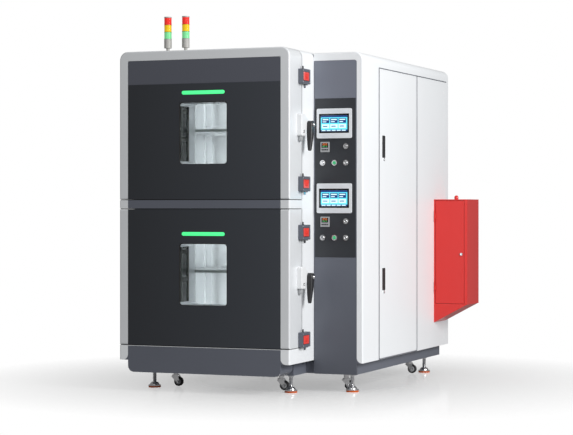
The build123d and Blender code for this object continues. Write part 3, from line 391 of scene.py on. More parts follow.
def band_finish():
    """Slate band whose two ends are painted like the door frames."""
    low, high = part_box("lower_door_face")
    material = coated("band_paint", colours().slate, 0.4)
    tree = material.node_tree
    repaint(material, step_mask(tree, "X", low.x, 1.0, 0.0), colours().silver)
    repaint(material, step_mask(tree, "X", high.x), colours().silver)


def foot_finish():
    """Bright foot on an orange rubber pad."""
    material = metal("foot_steel", (0.72, 0.72, 0.73), 0.25)
    tree = material.node_tree
    pad = sizes().pad_height
    repaint(material, step_mask(tree, "Z", pad, 1.0, 0.0), colours().pad_orange)
    tree.links.new(step_mask(tree, "Z", pad), tree.nodes["Principled BSDF"].inputs["Metallic"])


def make_finishes():
    """Every finish of the chamber."""
    hue = colours()
    coated("white_paint", hue.white, 0.42, spread=0.02)
    coated("silver_paint", hue.silver, 0.36, spread=0.03, metallic=0.15)
    coated("slate_paint", hue.slate, 0.42)
    # painted light and shade: the cover is painted lighter towards the top and darker towards the bottom
    low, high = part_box("machine_front_cover")
    painted_light_ramp("cover_paint_shaded", shade(hue.slate, 0.75), shade(hue.slate, 1.45), "Z", low.z, high.z, 0.42)
    coated("panel_black", hue.panel_black, 0.38)
    coated("red_paint", hue.signal_red, 0.35, spread=0.08, coat=0.2)
    coated("cylinder_red", shade(hue.signal_red, 0.8), 0.25, coat=0.4)
    coated("latch_grey", hue.latch_grey, 0.45, depth=0.15)
    coated("handle_white", (0.80, 0.81, 0.82), 0.38)
    coated("black_plastic", (0.018, 0.018, 0.020), 0.42, scale=1500.0, depth=0.2)
    coated("release_red", hue.release_red, 0.3, coat=0.3)
    coated("start_green", (0.06, 0.55, 0.22), 0.3, coat=0.3)
    coated("instrument_white", (0.74, 0.76, 0.79), 0.45, scale=1800.0, depth=0.12)
    coated("limiter_grey", (0.36, 0.37, 0.38), 0.5, scale=1800.0, depth=0.12)
    coated("tower_grey", (0.44, 0.43, 0.41), 0.5)
    coated("seal_rubber", (0.016, 0.016, 0.017), 0.75, scale=500.0, depth=0.3)
    coated("tyre_rubber", (0.022, 0.022, 0.023), 0.7, scale=700.0, depth=0.35)
    coated("spacer_grey", (0.040, 0.043, 0.040), 0.45)
    coated("display_black", (0.008, 0.009, 0.011), 0.16, depth=0.0)
    # the wide tone spread gives vertical streaks: partly the sheet's tone, partly painted reflection streaks
    metal("stainless", (0.66, 0.67, 0.69), 0.42, depth=0.08, spread=0.16)
    metal("bright_steel", (0.76, 0.76, 0.77), 0.16, depth=0.02)
    metal("button_ring", (0.78, 0.78, 0.79), 0.22, depth=0.03)
    metal("dark_steel", (0.20, 0.20, 0.21), 0.40, depth=0.10)
    clear_glass("window_glass", (0.93, 0.97, 0.96))
    glowing("strip_glow", hue.strip_green, 0.85)
    glowing("screen_glow", hue.screen_cyan, 0.9, 0.2)
    glowing("screen_navy", (0.010, 0.045, 0.20), 0.6, 0.2)
    glowing("screen_pale", (0.62, 0.86, 0.95), 0.8, 0.2)
    glowing("digit_orange", (1.0, 0.22, 0.03), 1.0)
    glowing("digit_green", (0.10, 0.85, 0.20), 1.0)
    glowing("lamp_white", (0.95, 0.97, 1.0), 1.2)
    glowing("lens_red", (0.95, 0.035, 0.025), 0.35, 0.18)
    glowing("lens_amber", (0.95, 0.62, 0.012), 0.35, 0.18)
    glowing("lens_green", (0.24, 0.82, 0.36), 0.35, 0.18)
    door_face_finish()
    band_finish()
    foot_finish()


# Mesh tools


def pick(geometry, kind):
    """The vertices, edges or faces in an operator's result."""
    return [item for item in geometry if isinstance(item, kind)]


def add_block(bm, low, high, bevel=0.0, segments=2, corner=0.0, axis=1, turn=None, slot=0):
    """Box between two corners. corner rounds its edges along an axis, bevel softens its rims."""
    low = Vector(low)
    high = Vector(high)
    middle = (low + high) / 2
    size = Matrix.Diagonal((*(high - low), 1.0))
    cube = bmesh.ops.create_cube(bm, size=1.0, matrix=Matrix.Translation(middle) @ size)["verts"]
    if corner > 0:
        edges = {edge for vert in cube for edge in vert.link_edges}
        across = {edge: (edge.verts[0].co - edge.verts[1].co).normalized() for edge in edges}
        round_edges(bm, [edge for edge, line in across.items() if abs(line[axis]) > 0.9], corner, 6)
        cube = connected(cube, bm)
    if bevel > 0:
        faces = {face for vert in cube for face in vert.link_faces}
        caps = [face for face in faces if abs(face.normal[axis]) > 0.9] if corner > 0 else faces
        round_edges(bm, {edge for face in caps for edge in face.edges}, bevel, segments)
        cube = connected(cube, bm)
    if turn:
        bmesh.ops.rotate(bm, verts=cube, cent=turn[0], matrix=Matrix.Rotation(turn[1], 3, turn[2]))
    for face in {face for vert in cube for face in vert.link_faces}:
        face.material_index = slot
    return cube


def round_edges(bm, edges, radius, segments):
    """Rounds some edges."""
    bmesh.ops.bevel(
        bm,
        geom=list(edges),
        offset=radius,
        offset_type="OFFSET",
        affect="EDGES",
        segments=segments,
        profile=0.5,
        material=-1,
    )


def connected(verts, bm):
    """All vertices joined to the living ones among some vertices, or to the newest one."""
    alive = [vert for vert in verts if vert.is_valid]
    if not alive:
        bm.verts.ensure_lookup_table()
        alive = [bm.verts[-1]]
    found = set(alive)
    queue = list(alive)
    while queue:
        for edge in queue.pop().link_edges:
            for vert in edge.verts:
                if vert not in found:
                    found.add(vert)
                    queue.append(vert)
    return list(found)


def add_ring_plate(bm, low, high, width, corner, axis=1, slot=0):
    """Flat frame with rounded corners: a plate with its middle taken out along an axis."""
    plate = add_block(bm, low, high, corner=corner, axis=axis, slot=slot)
    bm.normal_update()
    caps = [face for face in {f for v in plate for f in v.link_faces} if abs(face.normal[axis]) > 0.9]
    bmesh.ops.inset_individual(bm, faces=caps, thickness=width, use_even_offset=True)
    edges = list({edge for face in caps for edge in face.edges})
    bmesh.ops.delete(bm, geom=caps, context="FACES_ONLY")
    made = bmesh.ops.bridge_loops(bm, edges=edges)["faces"]
    for face in made:
        face.material_index = slot


def add_turned(bm, outline, place, axis, slot=0, steps=32):
    """Body of revolution. The outline holds (radius, height) pairs along the axis from a place."""
    direction = Vector(axis).normalized()
    across = direction.orthogonal().normalized()
    place = Vector(place)
    points = [bm.verts.new(place + across * radius + direction * height) for radius, height in outline]
    edges = [bm.edges.new(pair) for pair in zip(points, points[1:])]
    made = bmesh.ops.spin(
        bm, geom=points + edges, cent=place, axis=direction, angle=math.tau, steps=steps, use_merge=True
    )
    faces = {face for vert in points if vert.is_valid for face in vert.link_faces}
    faces.update(pick(made["geom_last"], bmesh.types.BMFace))
    body = connected([vert for vert in points if vert.is_valid], bm)
    bmesh.ops.remove_doubles(bm, verts=body, dist=1e-7)
    body = connected([vert for vert in body if vert.is_valid], bm)
    for face in {face for vert in body for face in vert.link_faces}:
        face.material_index = slot
    return body


def add_screw(bm, place, axis, radius, slot=0):
    """Pan-head screw with a driver recess."""
    outline = (
        (0.0, radius * 0.25),
        (radius * 0.35, radius * 0.25),
        (radius * 0.40, radius * 0.55),
        (radius * 0.80, radius * 0.45),
        (radius, radius * 0.15),
        (radius, -radius * 0.3),
        (0.0, -radius * 0.3),
    )
    add_turned(bm, outline, place, axis, slot, steps=12)


def finish_piece(bm, name, finishes, body, smooth=True):
    """Makes a mesh object of a bmesh, gives it its finishes and lets it ride on a body."""
    bmesh.ops.recalc_face_normals(bm, faces=bm.faces)
    for face in bm.faces:
        face.smooth = smooth
    for edge in bm.edges:
        edge.smooth = not (edge.is_manifold and edge.calc_face_angle(0.0) > SHARP)
    mesh = bpy.data.meshes.new(name)
    bm.to_mesh(mesh)
    bm.free()
    piece = bpy.data.objects.new(name, mesh)
    bpy.context.scene.collection.objects.link(piece)
    for finish in (finishes,) if isinstance(finishes, str) else finishes:
        mesh.materials.append(FINISHES[finish])
    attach(piece, body)
    return piece


def dress(finish, *nodes):
    """Gives CAD nodes a finish."""
    for node in nodes:
        item = frame["nodes"][node]
        for slot in item.material_slots:
            slot.material = FINISHES[finish]
        if not item.material_slots:
            item.data.materials.append(FINISHES[finish])


def solids_of(node):
    """Boxes of the separate solids of a CAD node, as pairs of corners, from left to right."""
    bm = bmesh.new()
    bm.from_mesh(frame["nodes"][node].data)
    bmesh.ops.remove_doubles(bm, verts=bm.verts, dist=1e-6)
    left = set(bm.verts)
    boxes = []
    while left:
        part = connected([next(iter(left))], bm)
        left.difference_update(part)
        low = Vector(min(vert.co[axis] for vert in part) for axis in range(3))
        high = Vector(max(vert.co[axis] for vert in part) for axis in range(3))
        boxes.append((low, high))
    bm.free()
    return sorted(boxes, key=lambda box: (round(box[0].x, 3), box[0].z))


def joint_place(name):
    """Where a hinge of the record turns."""
    joints = frame["record"]["behaviour"]["joints"]
    return Vector(next(joint["pos_m"] for joint in joints if joint["name"] == name))


def window_hole(side):
    """Corners of a window's opening in the door's front."""
    low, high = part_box(f"{side}_window_glass")
    overlap = sizes().glass_overlap
    return low.x + overlap, high.x - overlap, low.z + overlap, high.z - overlap


# Operators: one for each piece or group of like pieces


class ChamberOperator:
    """Shared by the chamber's operators"""

    bl_options = {"REGISTER", "UNDO"}

    def execute(self, context):
        self.make()
        return {"FINISHED"}


class CHAMBER_OT_finishes(ChamberOperator, bpy.types.Operator):
    """Makes the finishes and paints the solids of the frame"""

    bl_idname = "chamber.finishes"
    bl_label = "Finishes"

    def make(self):
        make_finishes()
        dress("white_paint", "chamber_casing", "machine_casing", "side_panel")
        dress("slate_paint", "skirt", "base_frame")
        dress("cover_paint_shaded", "machine_front_cover")
        dress("band_paint", "mid_band")
        dress("panel_black", "control_panel")
        dress("stainless", "chamber_liners", "shelves")
        dress("bright_steel", "body_fittings")
        dress("tower_grey", "tower_bases")
        dress("instrument_white", "hmi_panels")
        dress("limiter_grey", "controllers")
        dress("button_ring", "button_bezels")
        dress("foot_steel", "levelling_feet")
        dress("red_paint", "fire_box", "fire_box_door")
        dress("cylinder_red", "gas_cylinder")
        for side in SIDES:
            dress("silver_paint", f"{side}_door_shell")
            dress(f"{side}_door_dark", f"{side}_door_face")
            dress("stainless", f"{side}_door_plug")
            dress("seal_rubber", f"{side}_door_gasket")
            dress("window_glass", f"{side}_window_glass")
            dress("latch_grey", f"{side}_door_fittings")
            dress("handle_white", f"{side}_handle_base")
            dress("black_plastic", f"{side}_lever", f"{side}_side_handle")
            dress("release_red", f"{side}_latch_release_1", f"{side}_latch_release_2")
            dress("button_ring", f"{side}_alarm_button", f"{side}_light_button", f"{side}_stop_button")
            dress("start_green", f"{side}_start_button")
        for name in CASTERS:
            dress("bright_steel", f"{name}_caster_fork")
            dress("tyre_rubber", f"{name}_caster_wheel")


class CHAMBER_OT_windows(ChamberOperator, bpy.types.Operator):
    """Adds the window gaskets, the status lights and the lamps in the compartments"""

    bl_idname = "chamber.windows"
    bl_label = "Windows and lights"

    def make(self):
        for side in SIDES:
            self.gasket(side)
            self.spacer(side)
            self.strip(side)
            self.lamp(side)

    def gasket(self, side):
        """Seal round a window."""
        x0, x1, z0, z1 = window_hole(side)
        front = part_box(f"{side}_door_face")[0].y
        bm = bmesh.new()
        gap = 0.0002
        depth = 0.008
        low = (x0 + gap, front + gap, z0 + gap)
        high = (x1 - gap, front + depth, z1 - gap)
        add_ring_plate(bm, low, high, sizes().gasket_width, sizes().window_corner)
        finish_piece(bm, f"{side}_window_gasket", "seal_rubber", f"{side}_door")

    def spacer(self, side):
        """Dark slotted strips that keep the panes apart, on both walls of the window's tunnel."""
        x0, x1, z0, z1 = window_hole(side)
        low, high = z0 + sizes().window_corner, z1 - sizes().window_corner
        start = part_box(f"{side}_door_face")[1].y + 0.009
        end = start + sizes().spacer_depth
        slot = sizes().spacer_slot
        rib, edge, gap, thick = 0.025, 0.024, 0.0004, 0.0025
        bm = bmesh.new()
        for wall, inward in ((x0, 1), (x1, -1)):
            xs = sorted((wall + inward * gap, wall + inward * (gap + thick)))
            back = sorted((wall + inward * gap / 2, wall + inward * gap * 1.5))
            add_block(bm, (back[0], start, low), (back[1], end, high), slot=1)
            for y in (start, end - edge):
                add_block(bm, (xs[0], y, low), (xs[1], y + edge, high), bevel=0.0006)
            z = low - slot * 0.35
            while z < high:
                foot, head = max(z, low), min(z + rib, high)
                if head > foot:
                    add_block(bm, (xs[0], start + edge, foot), (xs[1], end - edge, head))
                z += rib + slot
        finish_piece(bm, f"{side}_window_spacer", ("spacer_grey", "display_black"), f"{side}_door")

    def strip(self, side):
        """Status light in its pocket over a window."""
        x0, x1, z0, z1 = window_hole(side)
        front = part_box(f"{side}_door_face")[0].y
        middle = Vector(((x0 + x1) / 2, front, z1 + sizes().strip_rise))
        half = Vector((sizes().strip_length / 2 - 0.001, 0.0, sizes().strip_height / 2 - 0.001))
        bm = bmesh.new()
        low = middle - half + Vector((0.0, 0.0004, 0.0))
        high = middle + half + Vector((0.0, 0.0024, 0.0))
        add_block(bm, low, high, bevel=0.0008, corner=half.z - 0.0002)
        finish_piece(bm, f"{side}_status_light", "strip_glow", f"{side}_door")

    def lamp(self, side):
        """Lamp under the compartment's roof, and the lights behind the window that stand for it."""
        parts = solids_of("chamber_liners")
        low, high = parts[1] if side == "upper" else parts[0]
        middle = (low + high) / 2
        half = Vector((sizes().lamp_width / 2, 0.020, 0.00675))
        roof = high.z - 0.025
        place = Vector((middle.x, low.y + 0.120, roof - 0.0005 - half.z))
        bm = bmesh.new()
        add_block(bm, place - half, place + half, bevel=0.004)
        finish_piece(bm, f"{side}_compartment_lamp", "lamp_white", "cabinet")
        for level in (0.25, 0.78):
            glow = bpy.data.lights.new(f"{side}_compartment_light", "AREA")
            glow.shape = "RECTANGLE"
            glow.size = sizes().lamp_width * 1.5
            glow.size_y = 0.22
            glow.energy = 1.15
            light = bpy.data.objects.new(f"{side}_compartment_light", glow)
            light.location = (middle.x, low.y + 0.07, low.z + (high.z - low.z) * level)
            light.rotation_euler = (math.radians(90), 0.0, 0.0)
            bpy.context.scene.collection.objects.link(light)


class CHAMBER_OT_latches(ChamberOperator, bpy.types.Operator):
    """Adds ribs, screws and pins to the latches, and screws to the hinges"""

    bl_idname = "chamber.latches"
    bl_label = "Latches and hinges"

    def make(self):
        for side in SIDES:
            for number in (1, 2):
                self.ribs(side, number)
            self.bodies(side)
        self.hinge_screws()

    def ribs(self, side, number):
        """Finger ribs on a release plate."""
        name = f"{side}_latch_release_{number}"
        low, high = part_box(name)
        count = 7
        pitch = (high.y - low.y) * 0.55 / count
        half, inset, sunk, proud = 0.0013, 0.010, 0.0005, 0.0012
        bm = bmesh.new()
        for step in range(count):
            y = (low.y + high.y) / 2 + (step - (count - 1) / 2) * pitch
            rib_low = (high.x - sunk, y - half, low.z + inset)
            add_block(bm, rib_low, (high.x + proud, y + half, high.z - inset), bevel=0.0006)
        finish_piece(bm, f"{name}_ribs", "release_red", name)

    def bodies(self, side):
        """Dark rim round each release, and the screws and the pin of each latch body."""
        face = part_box(f"{side}_door_fittings")[1].x
        lead, rim, edge = 0.007, 0.0022, 0.008
        bm = bmesh.new()
        for number in (1, 2):
            low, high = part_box(f"{side}_latch_release_{number}")
            front = low.y - lead
            back = front + sizes().latch_length
            top = (low.z + high.z) / 2 + sizes().latch_height / 2
            bottom = top - sizes().latch_height
            ring_low = (face - 0.001, low.y - rim, low.z - rim)
            ring_high = (face + 0.0006, high.y + rim, high.z + rim)
            add_ring_plate(bm, ring_low, ring_high, 0.0016, 0.004, axis=0, slot=1)
            for y in (front + edge, back - 0.010):
                for z in (bottom + edge, top - edge):
                    add_screw(bm, (face, y, z), (1, 0, 0), sizes().screw_radius * 0.8, slot=2)
            pin = Vector((face - 0.014, front + 0.034, top))
            stem = ((0.0, 0.016), (0.003, 0.016), (0.004, 0.014), (0.004, 0.004))
            flange = ((0.0065, 0.003), (0.0065, -0.001), (0.0, -0.001))
            add_turned(bm, stem + flange, pin, (0, 0, 1), slot=1, steps=20)
        finishes = ("latch_grey", "black_plastic", "bright_steel")
        finish_piece(bm, f"{side}_latch_details", finishes, f"{side}_door")

    def hinge_screws(self):
        """Screws of the hinge leaves, which ride on the doors, and of the fixed brackets."""
        radius = sizes().screw_radius
        left = (-1, 0, 0)
        end, sunk, bracket = 0.014, 0.004, 0.070
        leaves = {side: bmesh.new() for side in SIDES}
        fixed = bmesh.new()
        for low, high in solids_of("body_fittings"):
            if high.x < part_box("chamber_casing")[0].x + 0.001:
                side = "upper" if low.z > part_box("upper_door_shell")[0].z else "lower"
                door_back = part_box(f"{side}_door_shell")[1].y
                x = high.x - sunk
                for z in (low.z + end, high.z - end):
                    for step in (0.028, 0.054):
                        add_screw(fixed, (x, high.y - bracket + step, z), left, radius)
                        add_screw(leaves[side], (x, door_back - step, z), left, radius)
        finish_piece(fixed, "hinge_bracket_screws", "bright_steel", "cabinet")
        for side in SIDES:
            finish_piece(leaves[side], f"{side}_hinge_leaf_screws", "bright_steel", f"{side}_door")


class CHAMBER_OT_handles(ChamberOperator, bpy.types.Operator):
    """Adds the pivot caps, the lock barrels and the grips of the door handles"""

    bl_idname = "chamber.handles"
    bl_label = "Door handles"

    def make(self):
        for side in SIDES:
            self.caps(side)
            self.grip(side)

    def caps(self, side):
        """Cap on the lever's pivot, lock barrel, and the grey sleeve under the handle block, which also
        stands for the block's painted shadow.
        """
        pivot = joint_place(f"{side}_lever_pivot")
        low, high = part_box(f"{side}_handle_base")
        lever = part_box(f"{side}_lever")[1].x
        bm = bmesh.new()
        face = lever + 0.0006
        outline = (
            (0.0, 0.0085),
            (0.004, 0.0082),
            (0.0075, 0.0068),
            (0.0098, 0.0040),
            (0.0105, 0.0012),
            (0.0105, 0.0),
            (0.0, 0.0),
        )
        add_turned(bm, outline, (face, pivot.y, pivot.z), (1, 0, 0))
        keyway = ((0.0, 0.001), (0.0055, 0.001), (0.006, 0.003))
        rim = ((0.0085, 0.0024), (0.0095, 0.0), (0.0095, -0.001), (0.0, -0.001))
        block_face = low.x + sizes().handle_proud
        y = low.y + 0.029
        z = (low.z + high.z) / 2 - 0.034
        add_turned(bm, keyway + rim, (block_face, y, z), (1, 0, 0))
        slot_low = (block_face, y - 0.0008, z - 0.0035)
        add_block(bm, slot_low, (block_face + 0.0014, y + 0.0008, z + 0.0035), slot=1)
        # grey plate under the block, which also paints the block's shadow on the door
        sleeve_shadow_low = (low.x + 0.001, low.y + 0.012, low.z - sizes().sleeve_shadow_length)
        add_block(bm, sleeve_shadow_low, (block_face - 0.009, low.y + 0.046, low.z), bevel=0.003, slot=2)
        finishes = ("bright_steel", "black_plastic", "limiter_grey")
        finish_piece(bm, f"{side}_handle_caps", finishes, f"{side}_door")

    def grip(self, side):
        """Raised rib along a lever."""
        pivot = joint_place(f"{side}_lever_pivot")
        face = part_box(f"{side}_lever")[1].x
        lean = math.atan2(sizes().lever_lean, sizes().lever_drop)
        half, start, end = 0.0035, 0.020, 0.076
        low = (face - 0.002, pivot.y - half, pivot.z - end)
        high = (face + 0.0006, pivot.y + half, pivot.z - start)
        bm = bmesh.new()
        add_block(bm, low, high, bevel=0.001, corner=0.0034, axis=0, turn=(pivot, -lean, "X"))
        finish_piece(bm, f"{side}_lever_rib", "black_plastic", f"{side}_lever")


class CHAMBER_OT_towers(ChamberOperator, bpy.types.Operator):
    """Replaces the plain lenses of the signal towers with ribbed ones"""

    bl_idname = "chamber.towers"
    bl_label = "Signal towers"

    def make(self):
        bm = bmesh.new()
        towers = {}
        for low, high in solids_of("tower_lenses"):
            towers.setdefault(round(low.x, 3), []).append((low, high))
        for lenses in towers.values():
            for slot, (low, high) in enumerate(sorted(lenses, key=lambda box: box[0].z)):
                self.lens(bm, low, high, slot)
        piece = finish_piece(bm, "tower_lens_stack", ("lens_green", "lens_amber", "lens_red"), "cabinet")
        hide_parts("tower_lenses")
        self.seams(towers)

    def lens(self, bm, low, high, slot):
        radius = (high.x - low.x) / 2
        middle = (low + high) / 2
        tall = high.z - low.z
        ribs = sizes().lens_ribs
        groove = sizes().lens_groove
        outline = [(0.0, 0.0), (radius - groove, 0.0)]
        for step in range(ribs):
            base = tall * (step + 0.1) / ribs
            for inset, share in ((groove, 0.0), (0.0, 0.25), (0.0, 0.55), (groove, 0.8)):
                outline.append((radius - inset, base + tall * share / ribs))
        outline += [(radius - groove, tall), (0.0, tall)]
        add_turned(bm, outline, (middle.x, middle.y, low.z), (0, 0, 1), slot, steps=40)

    def seams(self, towers):
        bm = bmesh.new()
        for lenses in towers.values():
            for low, high in lenses:
                middle = (low + high) / 2
                radius = (high.x - low.x) / 2 + 0.0002
                inner, half = radius - 0.002, 0.0009
                outline = ((inner, -half), (radius, -half), (radius, half), (inner, half))
                add_turned(bm, (*outline, outline[0]), (middle.x, middle.y, low.z), (0, 0, 1), steps=40)
        for low, high in solids_of("tower_bases"):
            if high.z - low.z > 0.05:
                middle = (low + high) / 2
                circle = 0.018
                for turn in range(3):
                    angle = math.tau * turn / 3
                    across, along = circle * math.cos(angle), circle * math.sin(angle)
                    place = (middle.x + across, middle.y + along, low.z + 0.005)
                    add_screw(bm, place, (0, 0, 1), 0.0025)
        finish_piece(bm, "tower_seams", "black_plastic", "cabinet")


SEGMENTS = {"0": "abcdef", "2": "abged", "5": "afgcd"}


def add_digit(bm, digit, middle, height, face, slot):
    """Seven-segment numeral that faces forward."""
    half = height / 2
    width = height * 0.28
    bar = height * 0.055
    spots = {
        "a": (0.0, half, True),
        "g": (0.0, 0.0, True),
        "d": (0.0, -half, True),
        "f": (-width, half / 2, False),
        "b": (width, half / 2, False),
        "e": (-width, -half / 2, False),
        "c": (width, -half / 2, False),
    }
    for name in SEGMENTS[digit]:
        x, z, flat = spots[name]
        long_side = width - bar if flat else half / 2 - bar
        across, up = (long_side, bar) if flat else (bar, long_side)
        low = (middle[0] + x - across, face - 0.0002, middle[1] + z - up)
        high = (middle[0] + x + across, face + 0.0002, middle[1] + z + up)
        add_block(bm, low, high, slot=slot)


class CHAMBER_OT_instruments(ChamberOperator, bpy.types.Operator):
    """Adds screens, displays, button collars with painted shadow tails, and caps to the control panel"""

    bl_idname = "chamber.instruments"
    bl_label = "Instruments"

    def make(self):
        for side, (low, high) in zip(("lower", "upper"), solids_of("hmi_panels")):
            self.screen(side, low, high)
        for side, (low, high) in zip(("lower", "upper"), solids_of("controllers")):
            self.limiter(side, low, high)
        self.collars()
        for side in SIDES:
            for name in BUTTONS:
                self.cap(side, name)

    def screen(self, side, low, high):
        """Dark rim inside a panel's recess, fine bars on its bezel, and what the screen shows."""
        middle = (low + high) / 2
        half_x = sizes().screen_width / 2
        half_z = sizes().screen_height / 2
        face = low.y
        floor = face + 0.002
        edge, rim, bars = 0.0003, 0.009, 4
        ring_low = (middle.x - half_x + edge, face - 0.0004, middle.z - half_z + edge)
        ring_high = (middle.x + half_x - edge, floor, middle.z + half_z - edge)
        bm = bmesh.new()
        add_ring_plate(bm, ring_low, ring_high, rim, 0.003)
        bezel = (high.z - low.z) / 2 - half_z
        bar = Vector((half_x * 0.86, 0.0, 0.0011))
        for sign in (-1, 1):
            for step in range(bars):
                place = Vector((middle.x, face, middle.z + sign * (half_z + bezel * (0.25 + 0.17 * step))))
                bar_low = place - bar - Vector((0.0, 0.0009, 0.0))
                add_block(bm, bar_low, place + bar + Vector((0.0, 0.0005, 0.0)), bevel=0.0006, slot=1)
        finish_piece(bm, f"{side}_panel_trim", ("display_black", "instrument_white"), "cabinet")
        self.graphics(side, middle, half_x - 0.010, half_z - 0.010, floor)

    def graphics(self, side, middle, half_x, half_z, floor):
        bm = bmesh.new()
        back = floor + 0.0004
        lit = floor - 0.0008

        def tile(x0, x1, z0, z1, layer, slot, corner=0.0):
            low = (middle.x + x0 * half_x, lit - layer, middle.z + z0 * half_z)
            high = (middle.x + x1 * half_x, back, middle.z + z1 * half_z)
            add_block(bm, low, high, corner=corner, slot=slot)

        tile(-1.0, 1.0, -1.0, 1.0, 0.0, 0)
        tile(-1.0, 1.0, 0.78, 1.0, 0.0002, 1)
        tile(-1.0, 1.0, -1.0, -0.80, 0.0002, 1)
        for column in range(3):
            left = -0.92 + column * 0.63
            tile(left, left + 0.56, 0.05, 0.66, 0.0002, 1, 0.001)
            tile(left + 0.06, left + 0.50, 0.42, 0.56, 0.0004, 2)
            tile(left + 0.06, left + 0.34, 0.16, 0.26, 0.0004, 2)
            tile(left, left + 0.56, -0.62, -0.10, 0.0002, 2, 0.001)
            tile(left + 0.08, left + 0.42, -0.42, -0.30, 0.0004, 1)
        for column in range(5):
            left = -0.94 + column * 0.38
            tile(left, left + 0.30, -0.96, -0.84, 0.0004, 2)
        finishes = ("screen_glow", "screen_navy", "screen_pale")
        finish_piece(bm, f"{side}_panel_screen", finishes, "cabinet", smooth=False)

    def limiter(self, side, low, high):
        """Display window with two rows of numerals, and four keys."""
        middle = (low + high) / 2
        face = low.y
        bm = bmesh.new()
        window_low = (middle.x - 0.019, face - 0.0006, middle.z - 0.004)
        window_high = (middle.x + 0.019, face + 0.001, middle.z + 0.021)
        add_block(bm, window_low, window_high, bevel=0.0005, corner=0.002, slot=0)
        for row, (text, height, slot) in enumerate((("250", 0.009, 1), ("025", 0.006, 2))):
            z = middle.z + 0.0145 - row * 0.0115
            for spot, digit in enumerate(text):
                add_digit(bm, digit, (middle.x - 0.009 + spot * 0.009, z), height, face - 0.0007, slot)
        key = Vector((0.0036, 0.0, 0.0035))
        for step in range(4):
            place = Vector((middle.x - 0.0145 + step * 0.0097, face, middle.z - 0.0145))
            key_low = place - key - Vector((0.0, 0.0014, 0.0))
            key_high = place + key + Vector((0.0, 0.0005, 0.0))
            add_block(bm, key_low, key_high, bevel=0.0007, corner=0.0012, slot=3)
        finishes = ("display_black", "digit_orange", "digit_green", "black_plastic")
        finish_piece(bm, f"{side}_limiter_display", finishes, "cabinet")

    def collars(self):
        """Dark collar under each button's ring, partly the ring's own collar and partly painted shade, with a
        small tail below it that is a painted shadow of the button.
        """
        bm = bmesh.new()
        for low, high in solids_of("button_bezels"):
            middle = (low + high) / 2
            face = low.y + 0.005
            outer = sizes().collar_radius
            inner = (high.x - low.x) / 2 + 0.0001
            outline = ((inner, 0.0), (outer, 0.0), (outer, 0.0012), (outer - 0.0008, 0.0018), (inner, 0.0018))
            add_turned(bm, (*outline, outline[0]), (middle.x, face, middle.z), (0, -1, 0), steps=40)
            # painted shadow: dark tail under the collar where the button's shadow falls
            tail = Vector((middle.x, face, middle.z - outer))
            tail_low = tail - Vector((0.0016, 0.0016, 0.0035))
            add_block(bm, tail_low, tail + Vector((0.0016, 0.0, 0.001)), bevel=0.0005)
        finish_piece(bm, "button_collars_and_shadows", "black_plastic", "cabinet")

    def cap(self, side, name):
        """Dished cap on a push-button."""
        node = f"{side}_{name}_button"
        low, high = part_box(node)
        middle = (low + high) / 2
        radius = (high.x - low.x) / 2
        bm = bmesh.new()
        outline = (
            (0.0, 0.0004),
            (radius * 0.62, 0.0006),
            (radius * 0.70, 0.0012),
            (radius * 0.82, 0.0012),
            (radius * 0.88, 0.0004),
            (radius * 0.88, -0.0006),
            (0.0, -0.0006),
        )
        add_turned(bm, outline, (middle.x, low.y, middle.z), (0, -1, 0), steps=40)
        finish = "start_green" if name == "start" else "button_ring"
        finish_piece(bm, f"{node}_cap", finish, node)


